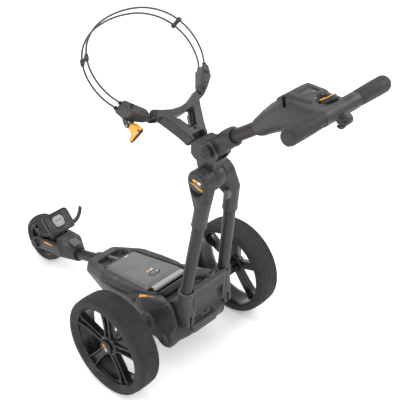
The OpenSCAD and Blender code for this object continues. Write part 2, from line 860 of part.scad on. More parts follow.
// The head's volume between two heights over the tube's axis
module head_volume() {
    hull() {
        translate([0, 86, 0]) rotate([-90, 0, 0]) cylinder(r = 21, h = 8, $fn = 48);
        for (s = [-1, 1]) {
            translate([s * 28, 150, 26]) sphere(r = 15, $fn = 24);
            translate([s * 28, 150, -14]) sphere(r = 13, $fn = 24);
            translate([s * 38, 232, 34]) sphere(r = 15, $fn = 24);
            translate([s * 40, 240, -18]) sphere(r = 13, $fn = 24);
        }
    }
    hull() {
        for (s = [-1, 1]) {
            translate([s * 38, 232, 34]) sphere(r = 15, $fn = 24);
            translate([s * 40, 240, -18]) sphere(r = 13, $fn = 24);
            translate([s * 36, 330, -24]) sphere(r = 17, $fn = 24);
            translate([s * 30, 326, -16]) sphere(r = 15, $fn = 24);
        }
    }
}

module half_space(low, high) {
    translate([-90, 60, low]) cube([180, 320, high - low]);
}

module head_shell() {
    color(charcoal) along_handle() difference() {
        intersection() {
            head_volume();
            half_space(-60, -6);
        }
        rotate([-90, 0, 0]) cylinder(r = tube_r + fit, h = 118.4);
        translate([-34, 140, -26]) cube([68, 150, 40]);
        for (s = [-1, 1]) translate([s * 42, 331, -26]) rotate([0, s * 90, 0]) cylinder(r = 16, h = 30);
        translate([0, 316, -16]) cylinder(r = 8.4, h = 20);
        translate([0, 316, -30]) cylinder(r = 4 + run, h = 20);
    }
}

module head_cover() {
    color(charcoal) along_handle() difference() {
        intersection() {
            head_volume();
            half_space(-5.9, 60);
        }
        rotate([-90, 0, 0]) cylinder(r = tube_r + fit, h = 118.4);
        translate([-34, 140, -10]) cube([68, 110, 36]);
        translate([0, 266, 22]) rotate([-40, 0, 0]) translate([-30, -19, -6]) cube([60, 38, 40]);
        translate([0, 316, -10]) cylinder(r = 23.5, h = 60);
    }
}

module display_window() {
    color([0.10, 0.11, 0.12]) along_handle() translate([0, 266, 22]) rotate([-40, 0, 0])
        translate([0, 0, -5.9]) linear_extrude(3) square([59.6, 37.6], center = true);
}

module dial_stem() {
    color(steel) along_handle() translate([0, 316, 0]) {
        translate([0, 0, -26]) cylinder(r = 4, h = 27);
        translate([0, 0, -13]) cylinder(r = 8, h = 5);
    }
}

module speed_dial() {
    color(dark) along_handle() translate([0, 316, 0]) difference() {
        translate([0, 0, -4]) cylinder(r = 22, h = 10);
        translate([0, 0, -5]) cylinder(r = 4 + run, h = 6.2);
        translate([0, 0, 4]) rotate_extrude() translate([14, 0]) square([4, 4]);
    }
}

module grips() {
    color(dark) along_handle() both() difference() {
        union() {
            translate([54, 331, -26]) rotate([0, 90, 0]) cylinder(r = grip_d / 2, h = grip_reach - 60);
            translate([42.1, 331, -26]) rotate([0, 90, 0]) cylinder(r = 15.9, h = 14);
            translate([grip_reach - 10, 331, -26]) rotate([0, 90, 0])
                cylinder(r1 = grip_d / 2, r2 = grip_d / 2 - 4, h = 10);
        }
        for (i = [0:7]) translate([66 + 11 * i, 331, -26]) rotate([0, 90, 0])
            rotate_extrude() translate([grip_d / 2 - 0.8, 0]) square([2, 2.5]);
    }
}

module accessory_bracket() {
    color(dark) along_handle() difference() {
        union() {
            translate([-8, loop_s, loop_n]) rotate([0, 90, 0]) cylinder(r = 17, h = 16);
            translate([-8, 300, -47]) cube([16, 44, 12]);
        }
        translate([-20, loop_s, loop_n]) rotate([0, 90, 0]) cylinder(r = 6, h = 40);
        half_space(-40.9, 0);
    }
}

// ---------------------------------------------------------------- battery
module battery_outline(inset) {
    polygon([
        [-bat_front + inset + 8, -bat_half + inset], [bat_front - inset - 8, -bat_half + inset],
        [bat_front - inset, -bat_half + inset + 8], [bat_rear - inset, bat_half - inset],
        [-bat_rear + inset, bat_half - inset], [-bat_front + inset, -bat_half + inset + 8]
    ]);
}

module battery_case() {
    color(charcoal) deck() {
        difference() {
            translate([0, 0, 0.2 - battery_h]) linear_extrude(battery_h - 12.2) battery_outline(0);
            translate([-52, 78, -46]) cube([104, 40, 40]);
        }
        // Carry bar across the rear edge, over the finger gap
        translate([-62, 107, -13]) cube([124, 14, 11]);
        both() translate([52.5, 98, -24]) cube([9.5, 22, 11.9]);
    }
}

module battery_lid() {
    color(graphite) deck() difference() {
        hull() {
            translate([0, 0, -11.9]) linear_extrude(4) battery_outline(0.2);
            translate([0, 0, -1]) linear_extrude(1) battery_outline(9);
        }
        translate([0, 62, -1]) linear_extrude(4) slot(38.8, 22.8);
    }
}

module battery_button() {
    color(dark) deck() translate([0, 62, 0]) linear_extrude(1.7) slot(38, 22);
}

lower_case();
top_surround();
bay_connector();
rear_socket();
hinge_brackets();
hinge_pins();
case_screws();
motor_case();
axle_bearings();
neck_tube();
front_fork();
front_axle();
cradle_plate();
cradle_badge();
cradle_wings();
motor_rotor();
motor_pinion();
drive_axle();
axle_gear();
drive_pins();
tyre_left();
rim_left();
hub_button_left();
tyre_right();
rim_right();
hub_button_right();
front_tyre();
front_rim();
front_bearings();
tracking_knob();
leg_base();
leg_tube_left();
leg_tube_right();
leg_head();
pivot_caps();
fold_pin();
fold_latch();
frame_stem();
bag_bracket();
wing_pins();
strap_cord_upper();
strap_cord_lower();
strap_spreader();
strap_hook();
wing_left();
wing_right();
strap_latch();
handle_hub();
handle_tube();
handle_knob();
head_shell();
head_cover();
display_window();
grips();
accessory_bracket();
dial_stem();
speed_dial();
battery_case();
battery_lid();
battery_button();
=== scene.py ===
import json
import math

import bmesh
import bpy
from mathutils import Matrix, Vector
from mathutils.bvhtree import BVHTree


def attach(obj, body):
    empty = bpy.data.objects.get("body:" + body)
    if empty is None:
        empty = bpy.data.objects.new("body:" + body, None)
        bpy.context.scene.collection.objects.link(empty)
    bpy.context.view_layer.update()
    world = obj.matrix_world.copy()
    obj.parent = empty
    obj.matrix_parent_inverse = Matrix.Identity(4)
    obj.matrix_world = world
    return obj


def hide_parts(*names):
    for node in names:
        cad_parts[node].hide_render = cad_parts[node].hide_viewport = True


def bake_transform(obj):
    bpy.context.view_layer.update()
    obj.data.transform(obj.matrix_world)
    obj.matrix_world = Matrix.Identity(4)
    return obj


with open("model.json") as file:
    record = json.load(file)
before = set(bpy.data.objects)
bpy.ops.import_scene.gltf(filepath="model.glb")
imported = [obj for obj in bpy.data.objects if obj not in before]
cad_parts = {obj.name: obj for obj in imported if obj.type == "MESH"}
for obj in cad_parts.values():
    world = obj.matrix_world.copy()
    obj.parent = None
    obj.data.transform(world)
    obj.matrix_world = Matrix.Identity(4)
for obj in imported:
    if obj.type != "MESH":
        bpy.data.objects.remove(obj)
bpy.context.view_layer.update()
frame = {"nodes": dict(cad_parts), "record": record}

NODES = frame["nodes"]
MM = 0.001

# ---------------------------------------------------------------- frames
WHEEL_R = 0.150
AXLE_Y = 0.072
WHEEL_X = 0.249
FRONT_Y = -0.538
FRONT_R = 0.080


def tilted(origin, degrees):
    """A frame turned about X: origin in millimetres, local y and z follow the slope."""
    return Matrix.Translation(Vector(origin) * MM) @ Matrix.Rotation(math.radians(degrees), 4, "X")


DECK = tilted((0, -81, 197), 9.5)
HANDLE = tilted((0, 296, 799), 36)
BAG = tilted((0, 92, 815), -41.5)
CRADLE = tilted((0, -443, 153), 45)
WORLD = Matrix.Identity(4)
# A wheel's own frame: local z runs outward along the axle
LEFT_WHEEL = Matrix.Translation((WHEEL_X, AXLE_Y, WHEEL_R)) @ Matrix.Rotation(math.radians(90), 4, "Y")
RIGHT_WHEEL = Matrix.Scale(-1, 4, (1, 0, 0)) @ LEFT_WHEEL
FRONT_WHEEL = Matrix.Translation((0, FRONT_Y, FRONT_R)) @ Matrix.Rotation(math.radians(90), 4, "Y")


# ---------------------------------------------------------------- camera, lights, floor
def camera():
    data = bpy.data.cameras.new("camera")
    data.lens = 86.41
    data.sensor_width = 36
    cam = bpy.data.objects.new("camera", data)
    bpy.context.scene.collection.objects.link(cam)
    cam.location = (1.5335, 1.6299, 1.9556)
    look = Vector((-0.0006, 0.1657, 0.5486)) - cam.location
    cam.rotation_euler = look.to_track_quat("-Z", "Y").to_euler()
    bpy.context.scene.camera = cam


def area_light(name, place, target, size, power, tint=(1, 1, 1)):
    data = bpy.data.lights.new(name, "AREA")
    data.shape = "RECTANGLE"
    data.size, data.size_y = size
    data.energy = power
    data.color = tint
    lamp = bpy.data.objects.new(name, data)
    bpy.context.scene.collection.objects.link(lamp)
    lamp.location = place
    lamp.rotation_euler = (Vector(target) - lamp.location).to_track_quat("-Z", "Y").to_euler()


def studio():
    world = bpy.data.worlds.new("studio")
    bpy.context.scene.world = world
    world.use_nodes = True
    back = world.node_tree.nodes["Background"]
    back.inputs["Color"].default_value = (1, 1, 1, 1)
    back.inputs["Strength"].default_value = 1.0
    area_light("key", (0.4, -1.2, 3.2), (0, 0, 0.3), (3.0, 2.4), 30)
    area_light("side", (3.0, 0.3, 1.6), (0, 0.1, 0.4), (1.4, 1.8), 24)
    area_light("rim", (-2.4, 1.2, 2.2), (0, 0, 0.5), (1.4, 1.4), 30)
    area_light("front", (1.4, 2.6, 1.5), (0, 0.2, 0.5), (1.6, 1.0), 8)
    bpy.ops.mesh.primitive_plane_add(size=30, location=(0, 0, -0.0005))
    floor = bpy.context.object
    floor.name = "floor"
    mat = bpy.data.materials.new("floor")
    mat.use_nodes = True
    bsdf = mat.node_tree.nodes["Principled BSDF"]
    bsdf.inputs["Base Color"].default_value = (0.97, 0.97, 0.97, 1)
    bsdf.inputs["Roughness"].default_value = 0.9
    bsdf.inputs["Emission Color"].default_value = (1, 1, 1, 1)
    bsdf.inputs["Emission Strength"].default_value = 0.22
    floor.data.materials.append(mat)
    view = bpy.context.scene.view_settings
    view.view_transform = "Standard"
    view.look = "None"


# ---------------------------------------------------------------- materials
class Nodes:
    """Short calls for one material's node tree."""

    def __init__(self, name):
        self.mat = bpy.data.materials.new(name)
        self.mat.use_nodes = True
        self.tree = self.mat.node_tree
        self.bsdf = self.tree.nodes["Principled BSDF"]

    def new(self, kind, **values):
        node = self.tree.nodes.new(kind)
        for key, value in values.items():
            if hasattr(node, key):
                setattr(node, key, value)
            else:
                node.inputs[key.replace("_", " ")].default_value = value
        return node

    def link(self, a, b):
        self.tree.links.new(a, b)

    def place(self):
        """Object coordinates, in metres."""
        return self.new("ShaderNodeTexCoord").outputs["Object"]

    def noise(self, scale, detail=3, rough=0.5, stretch=None):
        node = self.new("ShaderNodeTexNoise")
        node.inputs["Scale"].default_value = scale
        node.inputs["Detail"].default_value = detail
        node.inputs["Roughness"].default_value = rough
        where = self.place()
        if stretch:
            mapping = self.new("ShaderNodeMapping")
            mapping.inputs["Scale"].default_value = stretch
            self.link(where, mapping.inputs["Vector"])
            where = mapping.outputs["Vector"]
        self.link(where, node.inputs["Vector"])
        return node.outputs["Fac"]

    def ramp(self, value, low, high, start=0.0, end=1.0):
        node = self.new("ShaderNodeMapRange")
        for key, number in (("From Min", low), ("From Max", high), ("To Min", start), ("To Max", end)):
            node.inputs[key].default_value = number
        self.link(value, node.inputs["Value"])
        return node.outputs["Result"]

    def mix(self, fac, a, b):
        node = self.new("ShaderNodeMix", data_type="RGBA")
        for socket, item in ((node.inputs[6], a), (node.inputs[7], b)):
            if isinstance(item, tuple):
                socket.default_value = (*item, 1)
            else:
                self.link(item, socket)
        if isinstance(fac, float):
            node.inputs[0].default_value = fac
        else:
            self.link(fac, node.inputs[0])
        return node.outputs[2]

    def math(self, op, a, b=None):
        node = self.new("ShaderNodeMath", operation=op)
        for socket, item in zip(node.inputs, (a, b)):
            if item is None:
                continue
            if isinstance(item, (int, float)):
                socket.default_value = item
            else:
                self.link(item, socket)
        return node.outputs[0]

    def edges(self, low=0.52, high=0.6):
        """1 on outer edges, 0 on flats and in corners."""
        return self.ramp(self.new("ShaderNodeNewGeometry").outputs["Pointiness"], low, high)

    def hollows(self):
        return self.ramp(self.new("ShaderNodeNewGeometry").outputs["Pointiness"], 0.49, 0.42)

    def bump(self, height, distance, strength=1.0, under=None):
        node = self.new("ShaderNodeBump")
        node.inputs["Distance"].default_value = distance
        node.inputs["Strength"].default_value = strength
        self.link(height, node.inputs["Height"])
        if under:
            self.link(under, node.inputs["Normal"])
        return node.outputs["Normal"]


def shade(c, k):
    return tuple(min(1.0, v * k) for v in c)


def plastic(name, base, rough=0.5, grain=2400, depth=0.00004, wear=1.55, cloud=0.16):
    """Moulded plastic: spark-eroded grain, slow colour drift, grime and painted shade in hollows, dust on
    top, polished edges.
    """
    n = Nodes(name)
    drift = n.ramp(n.noise(16, 4), 0.3, 0.7)
    colour = n.mix(drift, shade(base, 1 - cloud), shade(base, 1 + cloud))
    speck = n.ramp(n.noise(900, 2), 0.62, 0.75, 0, 0.22)
    colour = n.mix(speck, colour, shade(base, 1.5))
    scuff = n.ramp(n.noise(60, 6, 0.7), 0.52, 0.7)
    edge = n.math("MULTIPLY", n.edges(), n.ramp(scuff, 0, 1, 0.35, 1.0))
    colour = n.mix(edge, colour, shade(base, wear))
    # Hollows: on dark plastics a pale grime; on lighter plastics the base colour at half strength, which is
    # painted shade
    dirt_and_painted_shade = n.math("MULTIPLY", n.hollows(), n.ramp(n.noise(45, 5), 0.35, 0.65, 0.2, 0.7))
    colour = n.mix(dirt_and_painted_shade, colour, (0.10, 0.095, 0.085) if sum(base) < 0.3 else shade(base, 0.5))
    up = n.new("ShaderNodeSeparateXYZ")
    n.link(n.new("ShaderNodeNewGeometry").outputs["Normal"], up.inputs[0])
    dust = n.math("MULTIPLY", n.ramp(up.outputs["Z"], 0.55, 1.0),
                  n.ramp(n.noise(24, 6, 0.65), 0.42, 0.72, 0, 0.16))
    colour = n.mix(dust, colour, (0.33, 0.32, 0.30))
    n.link(colour, n.bsdf.inputs["Base Color"])
    polish = n.math("MULTIPLY", edge, -0.14)
    r = n.math("ADD", n.ramp(n.noise(38, 5), 0.3, 0.7, rough - 0.07, rough + 0.08), polish)
    n.link(n.math("ADD", r, n.math("MULTIPLY", dust, 0.5)), n.bsdf.inputs["Roughness"])
    grainy = n.bump(n.noise(grain, 2), depth, 0.6)
    n.link(n.bump(n.noise(7, 2), 0.0006, 0.25, grainy), n.bsdf.inputs["Normal"])
    n.bsdf.inputs["Specular IOR Level"].default_value = 0.42
    return n.mat


def anodised(name, base, along):
    """Dark anodised tube: fine brushing round the tube, faint rub marks."""
    n = Nodes(name)
    streak = n.noise(1, 4, 0.6, along)
    colour = n.mix(n.ramp(streak, 0.3, 0.7), shade(base, 0.86), shade(base, 1.16))
    rub = n.ramp(n.noise(30, 7, 0.75), 0.6, 0.78, 0, 0.35)
    colour = n.mix(rub, colour, shade(base, 1.7))
    n.link(colour, n.bsdf.inputs["Base Color"])
    n.bsdf.inputs["Metallic"].default_value = 0.35
    n.link(n.ramp(streak, 0.2, 0.8, 0.34, 0.5), n.bsdf.inputs["Roughness"])
    n.link(n.bump(streak, 0.00003, 0.5), n.bsdf.inputs["Normal"])
    return n.mat


def steel(name, base=(0.55, 0.56, 0.58), rough=0.3):
    n = Nodes(name)
    brushed = n.noise(1, 3, 0.6, (900, 900, 60))
    colour = n.mix(n.ramp(n.noise(50, 5), 0.35, 0.7), shade(base, 0.8), base)
    # The hollows are darkened towards a dark brown
    hollow_darkening = n.math("MULTIPLY", n.hollows(), 0.6)
    colour = n.mix(hollow_darkening, colour, (0.08, 0.07, 0.06))
    n.link(colour, n.bsdf.inputs["Base Color"])
    n.bsdf.inputs["Metallic"].default_value = 1.0
    n.link(n.ramp(brushed, 0.2, 0.8, rough - 0.08, rough + 0.12), n.bsdf.inputs["Roughness"])
    n.link(n.bump(brushed, 0.00002, 0.6), n.bsdf.inputs["Normal"])
    return n.mat


def gloss(name, base=(0.0035, 0.0035, 0.004), rough=0.24):
    """Painted gloss black: orange peel, hairline scratches, a film of dust."""
    n = Nodes(name)
    hair = n.ramp(n.noise(1, 8, 0.8, (40, 700, 420)), 0.62, 0.72)
    dust = n.ramp(n.noise(30, 6, 0.6), 0.45, 0.8, 0, 0.10)
    colour = n.mix(dust, base, (0.12, 0.115, 0.11))
    colour = n.mix(n.math("MULTIPLY", n.edges(0.53, 0.62), 0.35), colour, (0.10, 0.10, 0.10))
    n.link(colour, n.bsdf.inputs["Base Color"])
    r = n.math("ADD", n.ramp(n.noise(20, 4), 0.3, 0.7, rough - 0.03, rough + 0.08),
               n.math("MULTIPLY", hair, 0.14))
    n.link(r, n.bsdf.inputs["Roughness"])
    n.link(n.bump(n.noise(220, 1), 0.00004, 0.35), n.bsdf.inputs["Normal"])
    n.bsdf.inputs["Coat Weight"].default_value = 0.12
    n.bsdf.inputs["Specular IOR Level"].default_value = 0.35
    n.bsdf.inputs["Coat Roughness"].default_value = 0.16
    return n.mat


def rubber(name, base, rough=0.78, grain=1400):
    n = Nodes(name)
    colour = n.mix(n.ramp(n.noise(22, 5), 0.3, 0.7), shade(base, 0.82), shade(base, 1.2))
    dusty = n.math("MULTIPLY", n.hollows(), n.ramp(n.noise(80, 5), 0.3, 0.7, 0.2, 0.8))
    colour = n.mix(dusty, colour, (0.11, 0.10, 0.085))
    colour = n.mix(n.math("MULTIPLY", n.edges(0.52, 0.62), 0.5), colour, shade(base, 1.8))
    n.link(colour, n.bsdf.inputs["Base Color"])
    n.link(n.ramp(n.noise(55, 5), 0.3, 0.7, rough - 0.1, rough + 0.1), n.bsdf.inputs["Roughness"])
    fine = n.bump(n.noise(grain, 3), 0.00006, 0.7)
    n.link(n.bump(n.noise(120, 3), 0.0001, 0.4, fine), n.bsdf.inputs["Normal"])
    n.bsdf.inputs["Specular IOR Level"].default_value = 0.35
    return n.mat


def braid(name, base=(0.018, 0.018, 0.02)):
    """Braided elastic: two crossed diagonal waves."""
    n = Nodes(name)
    crossed = []
    for slant in (1, -1):
        wave = n.new("ShaderNodeTexWave", wave_type="BANDS", bands_direction="DIAGONAL")
        wave.inputs["Scale"].default_value = 420
        wave.inputs["Distortion"].default_value = 0.4
        mapping = n.new("ShaderNodeMapping")
        mapping.inputs["Scale"].default_value = (slant, 1, 0.6)
        n.link(n.place(), mapping.inputs["Vector"])
        n.link(mapping.outputs["Vector"], wave.inputs["Vector"])
        crossed.append(wave.outputs["Fac"])
    weave = n.math("MAXIMUM", *crossed)
    colour = n.mix(weave, shade(base, 0.6), shade(base, 2.2))
    fleck = n.ramp(n.noise(700, 2), 0.66, 0.7, 0, 0.5)
    n.link(n.mix(fleck, colour, (0.10, 0.10, 0.105)), n.bsdf.inputs["Base Color"])
    n.bsdf.inputs["Roughness"].default_value = 0.8
    n.bsdf.inputs["Sheen Weight"].default_value = 0.25
    n.link(n.bump(weave, 0.0003, 0.7), n.bsdf.inputs["Normal"])
    return n.mat


def lamp(name, base):
    """A small indicator lamp behind a clear lens."""
    n = Nodes(name)
    n.link(n.mix(n.ramp(n.noise(900, 2), 0.3, 0.7), shade(base, 0.8), base), n.bsdf.inputs["Base Color"])
    n.bsdf.inputs["Roughness"].default_value = 0.25
    n.bsdf.inputs["Emission Color"].default_value = (*base, 1)
    n.bsdf.inputs["Emission Strength"].default_value = 0.8
    return n.mat


M = {
    "casing": plastic("casing", (0.022, 0.022, 0.023), 0.44),
    "casing_dark": plastic("casing_dark", (0.008, 0.008, 0.009), 0.42),
    "casing_light": plastic("casing_light", (0.075, 0.075, 0.077), 0.42, wear=1.35),
    "lid": plastic("lid", (0.125, 0.126, 0.128), 0.38, wear=1.15, cloud=0.08),
    "bar": plastic("bar", (0.31, 0.31, 0.312), 0.42, wear=1.1, cloud=0.06),
    "badge": plastic("badge", (0.30, 0.30, 0.31), 0.5, wear=1.15),
    "accent": plastic("accent", (0.84, 0.35, 0.03), 0.34, grain=1600, depth=0.00002, wear=1.1, cloud=0.06),
    "pale": plastic("pale", (0.72, 0.72, 0.72), 0.45, wear=1.05, cloud=0.05),
    "gear": plastic("gear", (0.6, 0.58, 0.52), 0.4, wear=1.1),
    "tube": anodised("tube", (0.024, 0.019, 0.0175), (60, 60, 1200)),
    "steel": steel("steel"),
    "rim": gloss("rim"),
    "display": gloss("display", (0.008, 0.009, 0.010), 0.08),
    "lcd": gloss("lcd", (0.10, 0.115, 0.11), 0.22),
    "light": lamp("light", (0.25, 0.95, 0.35)),
    "tyre": rubber("tyre", (0.020, 0.020, 0.021)),
    "grip": rubber("grip", (0.024, 0.024, 0.025), 0.6, 1900),
    "cord": braid("cord"),
}
SLOT_OF = {s["node"]: s["material_slot"] for s in frame["record"]["subparts"]}


def dress(obj, key):
    obj.data.materials.clear()
    obj.data.materials.append(M[key])


def soften(obj, width=0.0012, angle=32, segments=3):
    """Rounds a hard solid's edges: flats are merged first, so that the bevel is even."""
    flat = obj.modifiers.new("flat", "DECIMATE")
    flat.decimate_type = "DISSOLVE"
    flat.angle_limit = math.radians(2)
    bevel = obj.modifiers.new("bevel", "BEVEL")
    bevel.width = width
    bevel.segments = segments
    bevel.limit_method = "ANGLE"
    bevel.angle_limit = math.radians(angle)
    bevel.harden_normals = True
    for face in obj.data.polygons:
        face.use_smooth = True


# ---------------------------------------------------------------- mesh building
def build(name, verts, faces, key, body, at=WORLD, stands_for=()):
    """A piece from vertices in millimetres in a local frame."""
    data = bpy.data.meshes.new(name)
    data.from_pydata([at @ (Vector(v) * MM) for v in verts], [], faces)
    data.validate()
    bm = bmesh.new()
    bm.from_mesh(data)
    bmesh.ops.remove_doubles(bm, verts=bm.verts, dist=1e-6)
    bmesh.ops.recalc_face_normals(bm, faces=bm.faces)
    bm.to_mesh(data)
    bm.free()
    obj = bpy.data.objects.new(name, data)
    bpy.context.scene.collection.objects.link(obj)
    finish_piece(obj, key, body, stands_for)
    return obj


def finish_piece(obj, key, body, stands_for=()):
    obj.data.materials.clear()
    obj.data.materials.append(M[key])
    if stands_for:
        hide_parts(*stands_for)
    if body:
        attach(obj, body)
    for face in obj.data.polygons:
        face.use_smooth = True


def grid(rows, closed_u=True, closed_v=False):
    """Faces of a grid of rows of equal length."""
    h, w = len(rows), len(rows[0])
    faces = []
    for i in range(h if closed_v else h - 1):
        for j in range(w if closed_u else w - 1):
            k, m = (i + 1) % h, (j + 1) % w
            faces.append((i * w + j, i * w + m, k * w + m, k * w + j))
    return faces


def lathe(profile, steps, warp=None, closed=True):
    """A profile of (r, z) turned about z. warp(r, z, angle) may move a point."""
    rows = []
    for r, z in profile:
        row = []
        for i in range(steps):
            a = 2 * math.pi * i / steps
            rr, zz = warp(r, z, a) if warp else (r, z)
            row.append((rr * math.cos(a), rr * math.sin(a), zz))
        rows.append(row)
    return [v for row in rows for v in row], grid(rows, True, closed)


def prism(outline, z0, z1):
    """An outline of (x, y) between two heights."""
    n = len(outline)
    verts = [(x, y, z0) for x, y in outline] + [(x, y, z1) for x, y in outline]
    faces = [tuple(range(n - 1, -1, -1)), tuple(range(n, 2 * n))]
    faces += [(i, (i + 1) % n, n + (i + 1) % n, n + i) for i in range(n)]
    return verts, faces


def loft(rings, cap=True):
    verts = [v for ring in rings for v in ring]
    n = len(rings[0])
    faces = grid(rings, True, False)
    if cap:
        faces.append(tuple(range(n - 1, -1, -1)))
        faces.append(tuple(range(len(verts) - n, len(verts))))
    return verts, faces


def together(*shapes):
    verts, faces = [], []
    for v, f in shapes:
        base = len(verts)
        verts += v
        faces += [tuple(base + i for i in face) for face in f]
    return verts, faces


def turned(shape, matrix):
    return [tuple(matrix @ Vector(v)) for v in shape[0]], shape[1]


def spin(degrees, axis="Z"):
    return Matrix.Rotation(math.radians(degrees), 4, axis)


def shift(x, y, z):
    return Matrix.Translation((x, y, z))


def arc(cx, cy, r, start, end, steps):
    """Points of an arc, degrees."""
    out = []
    for i in range(steps + 1):
        a = math.radians(start + (end - start) * i / steps)
        out.append((cx + r * math.cos(a), cy + r * math.sin(a)))
    return out


def round_rect(w, h, r, steps=6):
    out = []
    for cx, cy, a in ((w / 2 - r, h / 2 - r, 0), (-w / 2 + r, h / 2 - r, 90),
                      (-w / 2 + r, -h / 2 + r, 180), (w / 2 - r, -h / 2 + r, 270)):
        out += arc(cx, cy, r, a, a + 90, steps)
    return out


def bevel(obj, width, segments=3, angle=30):
    mod = obj.modifiers.new("bevel", "BEVEL")
    mod.width = width * MM
    mod.segments = segments
    mod.limit_method = "ANGLE"
    mod.angle_limit = math.radians(angle)
    mod.harden_normals = True
    return obj


def smoothstep(a, b, x):
    t = min(1.0, max(0.0, (x - a) / (b - a)))
    return t * t * (3 - 2 * t)


# ---------------------------------------------------------------- rear wheels
TREADS = 64
TYRE_STEPS = 1024


def tread(r, z, a):
    """Depth pattern of the rear tyres: two rain grooves and swept shoulder slots."""
    if r < 138:
        return r, z
    side = abs(z)
    depth = 0.0
    for groove in (7, 21):
        depth = max(depth, 1 - smoothstep(0.9, 1.8, abs(side - groove)))
    sweep = (side - 21) * 0.013 if side > 21 else (side - 7) * -0.012
    turn = (a * TREADS / (2 * math.pi) + sweep * TREADS / 5) % 1.0
    slot = 1 - smoothstep(0.07, 0.12, abs(turn - 0.5))
    if side > 22.5:
        depth = max(depth, slot * (1 - smoothstep(34, 37, side)))
    elif 8.5 < side < 19.5:
        turn = (a * TREADS / (2 * math.pi) + side * 0.04 + (0.5 if z > 0 else 0)) % 1.0
        depth = max(depth, 0.8 * (1 - smoothstep(0.04, 0.08, abs(turn - 0.5))))
    return r - 1.7 * depth, z


def tyre_profile():
    """Half of the section, from the bead out over the shoulder to the middle."""
    half = [(126.4, 30), (126.6, 36), (128.2, 38.6), (131, 39.3), (134.5, 39.0), (137.2, 38.9),
            (138.0, 38.2), (138.8, 38.7), (142, 37.9), (144.8, 36.2), (146.8, 33.8), (148.0, 31)]
    tread_rows = [(150 - 2.2 * (z / 31) ** 2.4, z) for z in (29.5, 28, 26.5, 25, 23.8, 22.8, 21.9, 21, 20.1,
                                                             19.2,
                                                             18, 16.5, 15, 13, 11, 9.6, 8.6, 7.8, 7, 6.2,
                                                             5.2, 3.5, 1.8)]
    half += tread_rows
    return half + [(150, 0)] + [(r, -z) for r, z in reversed(half)]


def rear_tyre(side, place, body):
    verts, faces = lathe(tyre_profile(), TYRE_STEPS, tread, closed=True)
    return build("rear_tyre_" + side, verts, faces, "tyre", body, place, ["tyre_" + side])


def spoke(angle):
    """One twin spoke: two rails on a sunk web, flaring where it meets the barrel."""
    # distance from the hub, half width, rail height, web height
    stations = [(20, 13.5, 20.5, 14), (34, 13.0, 21.5, 13), (52, 12.6, 22.5, 12), (72, 13.0, 24.0, 12.5),
                (92, 14.0, 25.8, 14.5), (106, 15.6, 27.2, 17), (118, 19.5, 28.4, 20)]
    rings = []
    for y, half, rail, web in stations:
        back = 2 + 5 * smoothstep(60, 118, y)
        inner = half - 5.4
        right = [(half, back), (half + 0.2, rail - 2.4), (half - 0.9, rail - 0.5), (half - 2.6, rail),
                 (inner + 1.4, rail - 0.4),
                 (inner + 0.2, rail - 1.6), (inner - 1.2, web + 0.6), (inner - 2.6, web)]
        section = right + [(-x, z) for x, z in reversed(right)]
        rings.append([(x, y, z) for x, z in section])
    return turned(loft(rings), spin(angle))


def rear_rim(side, place, body):
    barrel = [(118.5, 28.4), (121, 30.6), (123.4, 34.2), (124.6, 37.0), (126.2, 37.9), (126.9, 36.4),
              (126.2, 30),
              (125.4, -30), (126.2, -36.5), (124.6, -37.6), (122.6, -36.5), (121.6, -32), (121.2, -8),
              (119.6, 14), (117.2, 20)]
    shapes = [lathe(barrel, 192)]
    shapes += [spoke(90 + 72 * i) for i in range(5)]
    hub = [(0.01, 16.5), (23.2, 16.5), (23.4, 22.3), (27.5, 21.2), (31, 18.0), (32.5, 13), (31.5, 5),
           (27, 2), (24, -4), (24, -42), (6.1, -42), (6.1, 10), (0.01, 10)]
    shapes.append(lathe(hub, 96, closed=False))
    rim = build("rear_rim_" + side, *together(*shapes), "rim", body, place, ["rim_" + side])
    return bevel(rim, 0.5, 2, 40)


# The mark on the hub's button: its turn in degrees, and the face's height over the wheel's middle
HUB_MARK_TURN = 35
HUB_FACE = 32.0


def hub_cap(side, place, body):
    """Release button: five-sided dome with a plain two-colour mark."""
    rings = []
    for size, z in [(20.5, 22.8), (21.2, 25), (20.8, 28.5), (19.4, 30.6), (17.0, 31.6), (12, 31.9)]:
        ring = []
        for i in range(60):
            a = 2 * math.pi * i / 60
            five = 1 / max(math.cos((a + math.pi / 5) % (2 * math.pi / 5) - math.pi / 5), 0.8)
            r = size * (1 + (five - 1) * 0.45) * 0.96
            ring.append((r * math.cos(a + math.pi / 2), r * math.sin(a + math.pi / 2), z))
        rings.append(ring)
    cap = build("hub_cap_" + side, *loft(rings), "casing_dark", body, place, ["hub_button_" + side])
    mark(side + "_hub_mark_a", place @ spin(HUB_MARK_TURN) @ shift(-6.5 * MM, 0, HUB_FACE * MM),
         [(-4.5, -3), (4.5, -3), (2.2, 3), (-6.5, 3)], "accent", body)
    mark(side + "_hub_mark_b", place @ spin(HUB_MARK_TURN) @ shift(4.5 * MM, 0, HUB_FACE * MM),
         [(-4, -2.6), (6.5, -2.6), (5, 2.6), (-5.6, 2.6)], "pale", body)
    return cap


def mark(name, place, outline, key, body, thick=0.25):
    """A printed mark: a thin raised patch."""
    return build(name, *prism(outline, 0, thick), key, body, place)


# ---------------------------------------------------------------- moulded castings
def raw(name, shape, at):
    data = bpy.data.meshes.new(name)
    data.from_pydata([at @ (Vector(v) * MM) for v in shape[0]], [], shape[1])
    bm = bmesh.new()
    bm.from_mesh(data)
    bmesh.ops.remove_doubles(bm, verts=bm.verts, dist=1e-6)
    bmesh.ops.recalc_face_normals(bm, faces=bm.faces)
    bm.to_mesh(data)
    bm.free()
    obj = bpy.data.objects.new(name, data)
    bpy.context.scene.collection.objects.link(obj)
    return obj


def applied(obj):
    """Replaces obj's mesh with its modified one."""
    bpy.context.view_layer.update()
    graph = bpy.context.evaluated_depsgraph_get()
    data = bpy.data.meshes.new_from_object(obj.evaluated_get(graph))
    obj.modifiers.clear()
    old = obj.data
    obj.data = data
    bpy.data.meshes.remove(old)
    return obj


